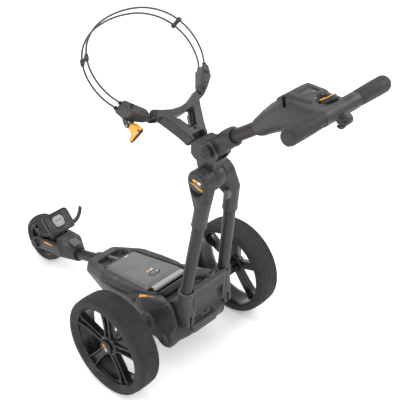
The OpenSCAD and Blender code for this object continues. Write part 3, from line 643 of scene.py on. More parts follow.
def remesh(obj, voxel, relax):
    mod = obj.modifiers.new("voxels", "REMESH")
    mod.mode = "VOXEL"
    mod.voxel_size = voxel * MM
    if relax:
        mod = obj.modifiers.new("relax", "SMOOTH")
        mod.factor = 0.5
        mod.iterations = relax
    return applied(obj)


def mould(name, body, key, nodes=(), add=(), cut=(), at=WORLD, voxel=1.6, relax=5, fine=1.0, last=2,
          stands=None):
    """A casting: CAD nodes and added shapes melted into one skin, then cut, then the cuts' edges eased.
    It stands for the nodes that it is made from, or for those that stands names."""
    obj = raw(name, together(*add) if add else ([], []), at)
    bm = bmesh.new()
    bm.from_mesh(obj.data)
    for node in nodes:
        bm.from_mesh(NODES[node].data)
    bm.to_mesh(obj.data)
    bm.free()
    remesh(obj, voxel, relax)
    for k, shape in enumerate(cut):
        cutter = raw(f"cutter_{k}", shape, at)
        mod = obj.modifiers.new("cut", "BOOLEAN")
        mod.operation = "DIFFERENCE"
        mod.solver = "EXACT"
        mod.object = cutter
        applied(obj)
        bpy.data.objects.remove(cutter)
    if fine:
        remesh(obj, fine, last)
    finish_piece(obj, key, body, nodes if stands is None else stands)
    return obj


def block(x0, x1, y0, y1, z0, z1):
    return prism([(x0, y0), (x1, y0), (x1, y1), (x0, y1)], z0, z1)


def rod(x0, x1, y, z, r, steps=40):
    """A cylinder along x."""
    shape = prism(arc(0, 0, r, 0, 360 - 360 / steps, steps - 1), x0, x1)
    return turned(turned(shape, spin(90, "Y")), shift(0, y, z))


def disc(x, y, z0, z1, r, steps=40):
    return turned(prism(arc(0, 0, r, 0, 360 - 360 / steps, steps - 1), z0, z1), shift(x, y, 0))


def side_slab(x0, x1, outline):
    """An outline of (y, z) between two x."""
    verts, faces = prism(outline, x0, x1)
    return [(z, x, y) for x, y, z in verts], faces


# ---------------------------------------------------------------- straps
CORD_R = 2.5
# One half of the strap's route on the bracket's plane, from the left wing to the middle
STRAP_HALF = [
    (152, -66), (164, -88), (172, -114), (175, -142), (172, -172), (161, -202),
    (142, -230), (114, -253), (79, -270), (40, -279), (0, -282),
]
STRAP_LEVELS = {"upper": -10, "lower": -38}


def eased(points, steps):
    """A smooth line through the points."""
    out = []
    last = len(points) - 1
    for i in range(last):
        a, b, c, d = (Vector(points[max(0, min(last, k))]) for k in (i - 1, i, i + 1, i + 2))
        for j in range(steps):
            t = j / steps
            out.append(0.5 * (2 * b + (c - a) * t + (2 * a - 5 * b + 4 * c - d) * t * t
                              + (3 * b - a - 3 * c + d) * t ** 3))
    out.append(Vector(points[-1]))
    return out


def tube_rings(path, radius, steps=16):
    """Rings of a round tube along a path of 3-D points."""
    rings = []
    for i, p in enumerate(path):
        along = (path[min(i + 1, len(path) - 1)] - path[max(i - 1, 0)]).normalized()
        side = along.cross(Vector((0, 0, 1))).normalized()
        up = side.cross(along)
        rings.append([tuple(p + radius * (side * math.cos(a) + up * math.sin(a)))
                      for a in (2 * math.pi * k / steps for k in range(steps))])
    return rings


def straps():
    half = STRAP_HALF + [(-x, y) for x, y in reversed(STRAP_HALF[:-1])]
    for level, z in STRAP_LEVELS.items():
        path = eased([(x, y, z) for x, y in half], 8)
        cord = build("strap_" + level, *loft(tube_rings(path, CORD_R)), "cord", None, BAG,
                     ["strap_cord_" + level])
        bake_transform(cord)


# ---------------------------------------------------------------- small shared pieces
# A face that looks outward along +X: local x runs to the rear, local y up
SIDE_FACE = Matrix(((0, 0, 1, 0), (1, 0, 0, 0), (0, 1, 0, 0), (0, 0, 0, 1)))
MIRROR = Matrix.Scale(-1, 4, (1, 0, 0))


def spot(x, y, z):
    """A place in world millimetres."""
    return Matrix.Translation(Vector((x, y, z)) * MM)


def both_sides(x, y, z):
    """The outward face at (x, y, z) and its mirror image."""
    place = spot(x, y, z) @ SIDE_FACE
    return (("left", place), ("right", MIRROR @ place))


SOCKET_FLARE = 1.1


def two_tone(name, place, body, scale=1.0):
    """A generic mark: an orange and a pale slanted bar."""
    left = [(-9, -2.4), (-1, -2.4), (1, 2.4), (-7, 2.4)]
    right = [(0.4, -2.4), (7.4, -2.4), (9.4, 2.4), (2.4, 2.4)]
    for tail, outline, key in (("_a", left, "accent"), ("_b", right, "pale")):
        mark(name + tail, place, [(x * scale, y * scale) for x, y in outline], key, body)


def screw(name, place, r, body, key="casing_dark"):
    """A pan head with a round socket that widens a little inside."""
    head = [(0.01, 0.45 * r), (r * 0.36, 0.45 * r), (r * 0.36, -0.1 * r), (0.01, -0.1 * r)]
    dome = [(r * 0.38, 0.5 * r), (r * 0.7, 0.46 * r), (r * 0.92, 0.3 * r), (r, 0.05 * r), (r, -0.4 * r)]
    socket = lambda rr, z, a: (rr, z) if rr > r * 0.37 else (rr * SOCKET_FLARE, z)
    return build(name, *lathe(list(reversed(head)) + dome, 36, socket, closed=False), key, body, place)


def superellipse(half, top, bottom, power, steps=56):
    """Points (x, z) of a rounded section between two heights."""
    middle, height = (top + bottom) / 2, (top - bottom) / 2
    out = []
    for i in range(steps):
        a = 2 * math.pi * i / steps
        c, s = math.cos(a), math.sin(a)
        out.append((half * math.copysign(abs(c) ** (2 / power), c),
                    middle + height * math.copysign(abs(s) ** (2 / power), s)))
    return out


def along_y(stations, steps=56):
    """A loft along y from stations (y, half width, top, bottom, power)."""
    return loft([[(x, y, z) for x, z in superellipse(half, top, bottom, power, steps)]
                 for y, half, top, bottom, power in stations])


def hull(*shapes):
    """The convex hull of several shapes."""
    bm = bmesh.new()
    for verts, _ in shapes:
        for v in verts:
            bm.verts.new(v)
    bmesh.ops.convex_hull(bm, input=bm.verts)
    loose = [v for v in bm.verts if not v.link_faces]
    bmesh.ops.delete(bm, geom=loose, context="VERTS")
    bm.verts.index_update()
    verts = [tuple(v.co) for v in bm.verts]
    faces = [tuple(v.index for v in f.verts) for f in bm.faces]
    bm.free()
    return verts, faces


def mirrored(shape):
    return [(-x, y, z) for x, y, z in shape[0]], [tuple(reversed(f)) for f in shape[1]]


def ring(r0, r1, z0, z1, steps=72):
    """A flat ring about z."""
    return lathe([(r0, z0), (r1, z0), (r1, z1), (r0, z1)], steps)


# ---------------------------------------------------------------- handle head
GRIP_S = 331
GRIP_N = -26
DIAL_S = 316
# Slope of the display's face and the middle of that face
SCREEN_TILT = -36
SCREEN_S, SCREEN_N = 272, 34.5


def cobra():
    """The head's lower body, widening from the tube's socket to the grips."""
    return along_y([
        (76, 20.5, 20, -21, 2), (80, 23, 23, -23.5, 2), (86, 24, 24.5, -24.5, 2.1), (100, 26, 28, -25, 2.2),
        (121, 30, 34, -26, 2.3), (145, 36, 39, -27.5, 2.5), (165, 41, 43, -29, 2.7), (190, 46, 45, -31, 2.9),
        (215, 50, 46, -33, 3.0), (240, 52, 44, -35, 3.0), (262, 52.5, 37, -37, 3.0), (280, 52, 27, -39, 2.9),
        (296, 51, 14, -41, 2.7), (312, 49, 5, -43, 2.5), (328, 44, -4, -44, 2.3), (340, 36, -10, -43, 2.1),
        (347, 24, -16, -39, 2),
    ])


def console():
    """The raised block round the display: stepped sides, a hood, then a face towards the user."""
    rings = []
    for s, c, top in ((182, 12, 42), (194, 24, 47), (206, 31, 50), (228, 35, 51.5), (246, 37, 51.5),
                      (252, 37, 48.5), (290, 35, 23), (298, 31, 16)):
        right = [(c - 1, top), (c + 1.5, top - 2), (c + 4, top - 11), (c + 9, top - 15), (c + 11, top - 26)]
        rings.append([(x, s, n) for x, n in right] + [(-x, s, n) for x, n in reversed(right)])
    return loft(rings)


def head():
    saddle = prism([(40, 250), (50, 276), (66, 312), (70, 340), (40, 348)], GRIP_N - 14, GRIP_N + 13)
    screen = turned(block(-23, 23, -15, 15, -3.2, 20), shift(0, SCREEN_S, SCREEN_N) @ spin(SCREEN_TILT, "X"))
    notch = prism([(30, 224), (60, 231), (60, 239), (33, 240)], 24, 47)
    mould("handle_head", "handle", "casing",
          add=[cobra(), console(), rod(-63, 63, GRIP_S, GRIP_N, 19.6), saddle, mirrored(saddle)],
          cut=[disc(0, DIAL_S, 1, 60, 25.2, 72), screen, notch, mirrored(notch), rod(-60, 60, 82, -27, 8),
               rod(-60, 60, 160, -34, 5), disc(0, 86, -40, -18, 6)],
          at=HANDLE, voxel=1.7, relax=7, fine=1.0, last=2, stands=["head_shell", "head_cover"])
    face = HANDLE @ Matrix.Translation(Vector((0, SCREEN_S, SCREEN_N)) * MM) @ spin(SCREEN_TILT, "X")
    glass = build("display_glass", *prism(round_rect(44, 28, 3), -2.9, -1.6), "display", "handle", face,
                  ["display_window"])
    bevel(glass, 0.4, 2)
    build("display_panel", *prism(round_rect(31, 17, 1), -1.6, -1.5), "lcd", "handle", face)
    for k in range(3):
        bars(f"display_figure_{k}", face @ Matrix.Translation(Vector((9 - 9 * k, 0, -1.48)) * MM))
    # Marks are read from the rear, so they are turned half round
    hood = HANDLE @ Matrix.Translation(Vector((8, 238, 51.3)) * MM) @ spin(180)
    two_tone("hood_mark", hood, "handle", 0.85)
    for k, x in enumerate((-19, -13, 13, 19)):
        tick = HANDLE @ Matrix.Translation(Vector((x, 297.5 - abs(x) * 0.1, 15.8)) * MM) @ spin(-38, "X")
        mark(f"dial_tick_{k}", tick, [(-1.9, -0.9), (1.9, -0.9), (1.9, 0.9), (-1.9, 0.9)], "pale", "handle")


def bars(name, place):
    """A figure of the display made of its segments."""
    upright = [(-2.6, -4.5, 0.8, 4.2), (-2.6, 0.3, 0.8, 4.2), (1.8, -4.5, 0.8, 4.2), (1.8, 0.3, 0.8, 4.2)]
    level = [(-2.0, 4.6, 4.0, 0.8), (-2.0, -5.4, 4.0, 0.8)]
    shapes = [block(x, x + w, y, y + h, 0, 0.06) for x, y, w, h in upright + level]
    build(name, *together(*shapes), "casing_dark", "handle", place)


def dial():
    at = HANDLE @ Matrix.Translation(Vector((0, DIAL_S, 0)) * MM)
    flutes = lambda r, z, a: (r - (0.5 * (0.5 + 0.5 * math.cos(36 * a)) if r > 19.5 and z < 11 else 0), z)
    top = [(0.01, 7.0), (7.5, 7.0), (9.5, 7.4), (11, 8.2), (17.4, 8.4), (19.2, 7.8), (20.5, 6.2),
           (21.3, 4), (21.6, 0), (22, -3.8), (4.1, -3.8)]
    build("dial_body", *lathe(top, 288, flutes, closed=False), "casing_dark", "dial", at, ["speed_dial"])
    rows = [[(r * math.cos(a), r * math.sin(a), z) for r,
             z in ((9.4, 7.2), (10.4, 8.8), (17.8, 9.0), (18.8, 7.8))]
            for a in (math.radians(-110 + 270 * k / 60) for k in range(61))]
    build("dial_arc", *loft(rows), "accent", "dial", at)


def grip(side, turn):
    """A soft grip: full and rounded, with one crease along its lower rear."""
    rings = []
    for x, r in ((58, 17.5), (59, 18.6), (63, 19.0), (64.5, 18.6), (66, 19.3), (80, 20.0), (110, 20.8),
                 (140, 21.2),
                 (163, 21.2), (169, 20.8), (173, 19.4), (175.8, 16.6), (177.2, 12.5), (177.6, 7)):
        ring_points = []
        for k in range(72):
            a = 2 * math.pi * k / 72
            crease = 1 - 0.06 * smoothstep(-0.5, -0.62, math.sin(a - 0.5)) if x > 64 else 1
            fat = 1 + 0.035 * math.cos(2 * a)
            ring_points.append((x, GRIP_S + r * crease * fat * math.cos(a),
                                GRIP_N + r * crease * math.sin(a)))
        rings.append(ring_points)
    obj = build("grip_" + side, *loft(rings), "grip", "handle", turn @ HANDLE,
                ["grips"] if side == "left" else ())
    return obj


def accessory_loop():
    """The loop under the head, with a hook and a triangular web up to the head."""
    loop = [(x, y) for x, y in arc(341, -51, 13.6, -150, 100, 20)]
    outline = [(312, -38), (318, -50), (327, -58)] + loop + [(338, -33), (330, -30)]
    web = prism([(-21, 322), (21, 322), (9, 349), (-9, 349)], -41, -32)
    hook = [(316, -50), (324, -57), (329, -66), (322, -70), (314, -66), (309, -58), (313, -57), (318, -62),
            (321, -60), (316, -54)]
    mould("accessory_loop", "handle", "casing",
          add=[side_slab(-8.5, 8.5, outline), web, side_slab(-6, 6, hook)],
          cut=[rod(-20, 20, 340.7, -50, 6.2)], at=HANDLE, voxel=1.0, relax=4, fine=0.7, last=1,
          stands=["accessory_bracket"])


def handle():
    head()
    dial()
    accessory_loop()
    grip("left", WORLD)
    grip("right", MIRROR)


# ---------------------------------------------------------------- handle hub and stem
HUB = (0, 225, 735)
# The locking knob: its mounting face's distance from the middle, and the profile's scale
KNOB_FACE = 41
KNOB_SCALE = 0.9


def hub():
    socket = [rod_along_y(0, 0, -34, -14, 25.5), rod_along_y(0, 0, -17, -12, 23.5)]
    shoulder = hull(rod(-19, 19, *local(HANDLE, HUB)[1:], 24), rod_along_y(0, 0, -44, -24, 24.5))
    mould("handle_hub_cast", "handle", "casing", add=[shoulder, *socket], at=HANDLE, voxel=1.4, relax=7,
          fine=0.9, last=1, cut=[rod_along_y(0, 0, -32, 10, 17.3)], stands=["handle_hub"])
    for side, place in both_sides(19.5, 250, 757):
        screw("hub_screw_" + side, place, 4.2, "handle")
        build("hub_screw_seat_" + side, *ring(4.6, 6.4, -1.5, 0.9), "casing", "handle", place)
    lobes = lambda r, z, a: (r + (0.7 * math.cos(10 * a) if r > 15 and z > -9 else 0), z)
    profile = [(0.01, 4.6), (5.5, 4.6), (6.3, 2.6), (8.4, 2.4), (9.4, 4.4), (11.8, 4.9), (12.8, 3.0),
               (14.4, 2.8),
               (15.6, 3.4), (17.4, 1.8), (18.1, -1), (18.1, -8.5), (16.5, -9.3), (6, -9.3)]
    (_, knob_place), _ = both_sides(KNOB_FACE, HUB[1], HUB[2])
    knob = lathe([(r * KNOB_SCALE, z) for r, z in profile], 160, lobes, closed=False)
    build("handle_lock_knob", *knob, "casing_dark", "knob_handle", knob_place, ["handle_knob"])
    cap = [(0.01, 1.2), (6, 1.2), (6.8, -0.4), (10.6, -0.6), (11.4, 1.0), (14, 1.0), (15.4, -0.6), (15.8, -6)]
    build("handle_pin_cap", *lathe(cap, 96, closed=False), "casing_dark", "knob_handle",
          MIRROR @ spot(32.6, HUB[1], HUB[2]) @ SIDE_FACE)


def rod_along_y(x, z, y0, y1, r, steps=56):
    shape = prism(arc(0, 0, r, 0, 360 - 360 / steps, steps - 1), y0, y1)
    return turned(turned(shape, spin(-90, "X")), shift(x, 0, z))


def local(frame_matrix, point):
    """A world point in millimetres, in a local frame."""
    return tuple(frame_matrix.inverted() @ (Vector(point) * MM) / MM)


def stem():
    mould("stem_cast", "upper_frame", "casing", ["frame_stem"],
          add=[hull(rod(-30, 30, 226, 735, 21), rod(-24, 24, 186, 728, 17), rod(-17, 17, 204, 676, 26))],
          cut=[rod(-19.9, 19.9, HUB[1], HUB[2], 25.6),
               side_slab(-19.9, 19.9, [(224, 711), (262, 699), (262, 790), (205, 790), (205, 750)])],
          voxel=1.4, relax=6, fine=0.9, last=1)
    barrel = [(10, -18.2), (35.4, -18.2), (36.4, -16.8), (36.4, 16.8), (35.4, 18.2), (10, 18.2)]
    build("stem_barrel", *lathe(barrel, 128), "casing", "upper_frame", spot(0, 208, 642) @ spin(90, "Y"))


# ---------------------------------------------------------------- legs
LEG_LOW = Vector((76, 184, 284))
LEG_TOP = Vector((54.5, 231, 600))
LEG_LEAN = (LEG_TOP - LEG_LOW).to_track_quat("Z", "Y").to_matrix().to_4x4()
LEG_SPAN = (LEG_TOP - LEG_LOW).length
FOLD = (208, 642)


def on_leg(shape, reach):
    """A shape about z, placed on the left leg's axis."""
    return turned(shape, Matrix.Translation(LEG_LOW) @ LEG_LEAN @ shift(0, 0, reach))


def leg_head():
    sleeve = [on_leg(disc(0, 0, LEG_SPAN - 78, LEG_SPAN - 20, 20.9, 56), 0),
              on_leg(disc(0, 0, LEG_SPAN - 80, LEG_SPAN - 73, 21.6, 56), 0)]
    cheek = hull(rod(22, 52, *FOLD, 36.5, 64), on_leg(disc(0, 0, LEG_SPAN - 26, LEG_SPAN + 2, 21.2, 56), 0))
    shapes = [cheek, rod(18.2, 30, *FOLD, 37, 64), *sleeve]
    bore = on_leg(disc(0, 0, LEG_SPAN - 120, LEG_SPAN - 60, 17.25, 48), 0)
    gap = block(-17.9, 17.9, 150, 260, 604, 700)
    mould("leg_head_cast", "legs", "casing", add=shapes + [mirrored(s) for s in shapes],
          cut=[bore, mirrored(bore), gap, rod(52.6, 80, *FOLD, 31.4, 64), rod(-80, -52.6, *FOLD, 31.4, 64)],
          voxel=1.5, relax=6, fine=1.0, last=1, stands=["leg_head"])
    block_outline = arc(240, 596, 7.5, 20, 160, 10) + [(232.5, 588), (235, 578), (241, 575), (246, 578),
                                                       (248, 588)]
    catch = build("fold_catch", *side_slab(-34, -19, block_outline), "casing_light", "latch_fold", WORLD,
                  ["fold_latch"])
    bevel(catch, 2.2, 4)
    for side, place in both_sides(52.3, *FOLD):
        cap_disc(side, place)


def cap_disc(side, place):
    """The pivot's cover: a dished disc with a generic mark, a swoosh and a paler lower part."""
    profile = [(0.01, 4.0), (25, 4.0), (27.2, 4.4), (29.6, 4.2), (30.8, 3.0), (31, 0)]
    build("pivot_cover_" + side, *lathe(profile, 128, closed=False), "casing_dark", "legs", place,
          ["pivot_caps"] if side == "left" else ())
    face = place @ Matrix.Translation((0, 0, 4.05 * MM))
    read = face if side == "left" else face @ Matrix.Scale(-1, 4, (1, 0, 0))
    two_tone("cap_mark_" + side, read @ Matrix.Translation((0, 7 * MM, 0)) @ spin(-8), "legs", 1.7)
    mark("cap_line_" + side, read, [(-12, 0.2), (15, -3.6), (15.5, -2.8), (-12, 1.0)], "pale", "legs", 0.2)
    swoosh = [(-24.5, -4.0), (-5, -7.4), (3, -13.4), (19.6, -16.2), (22.6, -10.2), (6, -7.2), (0, -4.6),
              (-24.8, -1.8)]
    mark("cap_swoosh_" + side, read, swoosh, "accent", "legs")
    lower = [(-24.4, -5.2), (-4.4, -9.4), (1.6, -13.6), (20, -15.8)]
    mark("cap_lower_" + side, read, list(reversed(lower)) + arc(0, 0, 24.8, 191, 320, 24), "casing_light",
         "legs", 0.2)


def leg_base():
    mould("leg_foot_cast", "legs", "casing", ["leg_base"], voxel=1.5, relax=6, fine=1.0, last=2,
          add=[side_slab(-62, 62, [(187, 228), (200, 196), (206, 262), (202, 300), (196, 300), (190, 262)])],
          cut=[rod(-54, 54, 243, 226, 50, 96)])
    # A pale ring round each tube's entry at the foot: a painted highlight for the light caught by the entry's
    # edge
    lip = on_leg(lathe([(17.3, 9), (19.2, 8.6), (21.4, 9.6), (21.6, 10.9), (20.4, 11.8), (17.3, 11.8)], 72),
                 0)
    build("leg_highlight_ring_left", *lip, "casing_light", "legs")
    build("leg_highlight_ring_right", *mirrored(lip), "casing_light", "legs")
    collar = on_leg(lathe([(17.2, -86), (18.5, -86), (18.5, -80), (17.2, -80)], 72), LEG_SPAN)
    build("leg_collar_left", *collar, "casing_dark", "legs")
    build("leg_collar_right", *mirrored(collar), "casing_dark", "legs")


# ---------------------------------------------------------------- bag bracket and wings
PIVOT_X = 83


def bracket():
    """A fork round an open window: a sagging bar between the wing pivots and two arms down to the base."""
    low, top = -37, -3
    bar = [(PIVOT_X, 0, 12.5), (58, 9, 10.5), (30, 17, 9), (0, 20, 8.5)]
    arm = [(58, 9, 10.5), (44, 34, 12), (26, 70, 13), (19, 94, 11)]
    shapes = []
    for line in (bar, arm):
        for (x0, y0, r0), (x1, y1, r1) in zip(line, line[1:]):
            for s in (1, -1):
                # each link a hair taller than the last, so that no two share a face
                rise = 0.03 * len(shapes)
                shapes.append(hull(disc(s * x0, y0, low - rise, top + rise, r0, 40),
                                   disc(s * x1, y1, low - rise, top + rise, r1, 40)))
    shapes.append(hull(*[disc(s * 20, y, low, top, 11, 40) for s in (1, -1) for y in (82, 96)]))
    hub_y, hub_z = local(BAG, HUB)[1:]
    mould("bracket_cast", "upper_frame", "casing", add=shapes,
          cut=[disc(s * PIVOT_X, 0, -30, -9.2, 14, 40) for s in (1, -1)]
          + [block(min(s * PIVOT_X, s * 130), max(s * PIVOT_X, s * 130), -20, 20, -30, -9.2) for s in (1, -1)]
          + [rod(-20, 20, hub_y, hub_z, 70, 96), disc(0, 78, -14, 10, 3.2, 24)],
          at=BAG, voxel=1.3, relax=7, fine=1.0, last=2, stands=["bag_bracket"])
    for s, tail in ((1, "left"), (-1, "right")):
        strut = hull(disc(s * 24, 38, -33, -8, 2.2, 16), disc(s * 8, 68, -33, -8, 2.2, 16))
        build("bracket_strut_" + tail, *strut, "casing_dark", "upper_frame", BAG)
        bolt = [(0.01, 3.4), (3.2, 3.4), (3.4, 2.0), (5.0, 2.0), (5.2, 3.0), (7.4, 3.0), (8.2, 2.0),
                (8.4, -2)]
        build("wing_bolt_" + tail, *lathe(bolt, 48, closed=False), "casing_dark", "upper_frame",
              BAG @ spot(s * PIVOT_X, 0, -2), ["wing_pins"] if s > 0 else ())


def wing(tail, turn):
    at = turn @ BAG
    body = hull(disc(106, -16, -36, -2, 8, 32), disc(103, -4, -36, -2, 6, 32), disc(136, -30, -47, -1, 7, 32),
                disc(144, -54, -46, -1, 9, 32))
    neck = [disc(PIVOT_X, 0, -29, -10, 9.3, 40), block(85, 104, -8, 6, -29, -10)]
    hollow = [prism([(104, -17), (134, -50), (143, -56), (146, -50), (136, -30), (108, -5), (103, -8)], -80,
                    -21)]
    flare = prism([(112, 6), (140, -18), (152, -44), (160, -40), (150, 10)], -20, -12)
    slots = [prism([(x, y), (x + 7, y - 6), (x + 8.6, y - 4.2), (x + 1.6, y + 1.8)], -4, 4)
             for x, y in ((126, -42), (129, -38.5), (132, -35))]
    ribs = [hull(disc(x, y, -40, -18, 1.4, 12), disc(x + 9, y + 11, -40, -18, 1.4, 12))
            for x, y in ((110, -22), (120, -32), (130, -43))]
    glands = []
    for level in STRAP_LEVELS.values():
        out = Vector(STRAP_HALF[1]) - Vector(STRAP_HALF[0])
        turn_out = math.degrees(math.atan2(out.y, out.x))
        for k, r in enumerate((5.6, 5.0, 5.6, 4.9, 5.3)):
            glands.append(turned(turned(disc(0, 0, -1.4, 0, r, 28), spin(-90, "Y")),
                                 shift(152 - 0.47 * 1.5 * k, -66 + 0.88 * 1.5 * k,
                                       level) @ spin(turn_out + 180)))
    mould("wing_cast_" + tail, tail + "_wing", "casing", add=[body, *neck],
          cut=[rod_down(PIVOT_X, 0, 4.2), *hollow, flare, *slots], at=at, voxel=1.1, relax=4, fine=0.8,
          last=1,
          stands=["wing_" + tail])
    build("wing_ribs_" + tail, *together(*ribs), "casing_dark", tail + "_wing", at)
    build("wing_glands_" + tail, *together(*glands), "casing_dark", tail + "_wing", at)
    for k, (x, y) in enumerate(((104, -9), (112, -17))):
        screw(f"wing_screw_{tail}_{k}", at @ spot(x, y, -1.6), 3.3, tail + "_wing")


def rod_down(x, y, r):
    return disc(x, y, -60, 20, r)


def strap_fittings():
    """The strap's latch: an orange lever with a dark backing strip and its pivot lugs."""
    lever = [(46, 785), (48, 790.5), (57, 793), (75, 796.5), (88, 793), (95, 788), (91, 782), (82, 772),
             (61, 743),
             (55, 740.5), (53, 745), (56, 753), (61, 764), (57, 775), (48, 780)]
    mould("strap_lever", "latch_strap", "accent", add=[side_slab(129, 141, lever)], voxel=0.9, relax=4,
          fine=0.6,
          last=1, cut=[rod(120, 150, 52, 788.5, 2.6)], stands=["strap_latch"])
    strip = [(58, 739.5), (61, 739), (95, 781.5), (96.5, 787), (94, 789.5), (90.5, 782.5)]
    bevel(build("strap_lever_back", *side_slab(128.6, 141.4, strip), "casing_dark", "latch_strap"), 0.8)
    bevel(build("strap_lever_pin", *rod(127.6, 142.4, 89.5, 787.5, 3.6), "casing_light", "latch_strap"), 0.6)
    lug = [(34, 810), (50, 804), (58, 796), (59, 788), (54, 781), (46, 781), (38, 792)]
    for x in (124.7, 141.3):
        bevel(build(f"latch_lug_{int(x)}", *side_slab(x, x + 4, lug), "casing", "left_wing"), 1.2, 4)
    build("latch_pivot", *rod(123.8, 146.2, 52, 788.5, 2.5), "steel", "left_wing")
    run = Vector(STRAP_HALF[6]) - Vector(STRAP_HALF[4])
    on_strap = spot(*STRAP_HALF[5], 0) @ spin(math.degrees(math.atan2(run.y, run.x)))
    at = BAG @ MIRROR @ on_strap
    outline = round_rect(12, 11, 3)
    rings = []
    for z in (-44.5, -43.5):
        rings.append([(x * (0.9 if z < -44 else 1), y * (0.9 if z < -44 else 1), z) for x, y in outline])
    for k in range(9):
        z = -32 + 2.1 * k
        rings.append([(x * (0.93 if k % 2 else 0.84), y * (0.93 if k % 2 else 0.84), z) for x, y in outline])
    rings.append([(x, y, -4.5) for x, y in outline])
    rings.append([(x * 0.9, y * 0.9, -3.5) for x, y in outline])
    bevel(build("strap_keeper", *loft(rings), "casing_dark", "upper_frame", at, ["strap_spreader"]), 0.3, 2)
    ends = [hull(rod(-9, 9, 0, level, 4.4, 28), rod(-6.5, 6.5, 0, level, 5.4, 28)) for level in (-38, -10)]
    legs = [hull(ball(k * 7, 0, level, 2.6), ball(k * 3, 0, -24, 2.6)) for k in (1, -1)
            for level in (-34, -14)]
    legs.append(hull(ball(5, 0, -24, 2.4), ball(-5, 0, -24, 2.4)))
    mould("strap_hook_body", "upper_frame", "casing", add=ends + legs, at=BAG @ on_strap, voxel=0.8,
          relax=3, fine=0,
          stands=["strap_hook"])


def ball(x, y, z, r):
    verts = []
    for i in range(1, 8):
        a = math.pi * i / 8
        verts += [(x + r * math.sin(a) * math.cos(b), y + r * math.sin(a) * math.sin(b), z + r * math.cos(a))
                  for b in (2 * math.pi * k / 14 for k in range(14))]
    return verts + [(x, y, z + r), (x, y, z - r)], []


# ---------------------------------------------------------------- deck: surround and battery
def filleted(points, r, steps=6):
    """An outline with every corner rounded."""
    out = []
    n = len(points)
    for i in range(n):
        a, p, b = (Vector(points[(i + k) % n]) for k in (-1, 0, 1))
        start, end = p + (a - p).normalized() * r, p + (b - p).normalized() * r
        for k in range(steps + 1):
            t = k / steps
            out.append(tuple((1 - t) ** 2 * start + 2 * t * (1 - t) * p + t * t * end))
    return out


LID = [(-52, -103), (52, -103), (59, -96), (73, 103), (-73, 103), (-59, -96)]


def shrunk(points, d):
    return [(x * (1 - d / 66), y * (1 - d / 103)) for x, y in points]


def surround():
    rims = []
    for x, s, r in ((38, -170, 26), (68, -78, 28), (80, 0, 20), (82, 62, 18), (62, 124, 24), (40, 132, 24)):
        rims += [disc(k * x, s, -26, -22, r, 48) for k in (1, -1)]
    for x, s, r, n in ((36, -168, 18, -12), (64, -76, 22, -5.5), (76, 0, 15, -5.5), (78, 66, 13, -5.5),
                       (60, 128, 18, -5.5)):
        rims += [disc(k * x, s, n - 1, n, r, 48) for k in (1, -1)]
    bay = [(-58.5, -105), (58.5, -105), (75, 105), (62, 139), (-62, 139), (-75, 105)]
    trough = loft([[(x * 0.82, y * 0.78 - 129, -25) for x, y in round_rect(104, 52, 12)],
                   [(x, y - 129, -4) for x, y in round_rect(104, 52, 14)]])
    groove = loft([[(x * k, y * k, z) for x, y in filleted(bay, 6)] for k, z in ((1.03, -9.5), (1.05, 2))])
    mould("deck_surround", "chassis", "casing", add=[hull(*rims)],
          cut=[prism(filleted(bay, 4), -40, 20), trough, groove], at=DECK, voxel=1.7, relax=9, fine=1.1,
          last=2,
          stands=["top_surround", "bay_connector"])
    rib = hull(disc(-2, -150, -24, -13, 5, 24), disc(-2, -110, -24, -9, 6, 24))
    bevel(build("bay_rib", *rib, "casing_light", "chassis", DECK), 1.5, 3)


def battery():
    slot_outline = lambda w, h: arc((w - h) / 2, 0, h / 2, -90, 90, 16) + arc(-(w - h) / 2, 0, h / 2, 90,
                                                                              270, 16)
    skirt = [(0.4, -12), (0.2, -9.5), (1.2, -8.2), (8.5, -1.6), (9.8, -0.6), (11.2, 0)]
    lid = [[(x, y, z) for x, y in filleted(shrunk(LID, d), 9)] for d, z in skirt]
    top = build("battery_top", *loft(lid), "lid", "battery", DECK, ["battery_lid"])
    pocket = raw("pocket", turned(prism(slot_outline(38.8, 22.8), -2.4, 4), shift(0, 62, 0)), DECK)
    mod = top.modifiers.new("pocket", "BOOLEAN")
    mod.solver = "EXACT"
    mod.object = pocket
    applied(top)
    top.data.set_sharp_from_angle(angle=math.radians(25))
    bpy.data.objects.remove(pocket)
    seam = filleted(shrunk(LID, 0.2), 9)
    build("battery_seam", *prism(seam, -14.2, -12.2), "casing_dark", "battery", DECK)
    section = round_rect(21.5, 12, 4.2)
    bar_rings = [[(x, y * k + 119.2, z * k - 6.8) for y, z in section]
                 for x, k in ((-61.2, 0.7), (-60.6, 0.86), (-58.8, 0.97), (-55, 1), (55, 1), (58.8, 0.97),
                              (60.6, 0.86), (61.2, 0.7))]
    build("carry_bar", *loft(bar_rings), "bar", "battery", DECK)
    at = DECK @ spot(0, 62, 0)
    rim = [[(x, y, z) for x, y in slot_outline(w, h)] for w, h,
           z in ((38, 22, 0.05), (38, 22, 0.9), (36.4, 20.4, 1.5), (34.4, 18.4, 0.9), (34, 18, 0.05))]
    build("button_ring", *loft(rim, cap=False), "casing_dark", "button_battery", at, ["battery_button"])
    plate = [[(x, y, z) for x, y in slot_outline(w, h)] for w, h,
             z in ((33.2, 17.2, 0.05), (33, 17, 1.2), (31.6, 15.6, 1.5))]
    build("button_plate", *loft(plate), "lid", "button_battery", at)
    build("button_light", *disc(-11, 0, 1.45, 1.75, 1.9, 28), "light", "button_battery", at)
    for k, x in enumerate((-4, 2, 8)):
        build(f"button_dot_{k}", *disc(x, 0, 1.45, 1.62, 1.2, 20), "casing_dark", "button_battery", at)
    two_tone("battery_mark", DECK @ spot(0, 40, 0.02) @ spin(180), "battery", 1.5)
    mark("battery_dash", DECK @ spot(-16, -82, 0.02), [(-9, -2), (7, -2), (9, 2), (-7, 2)], "pale", "battery")


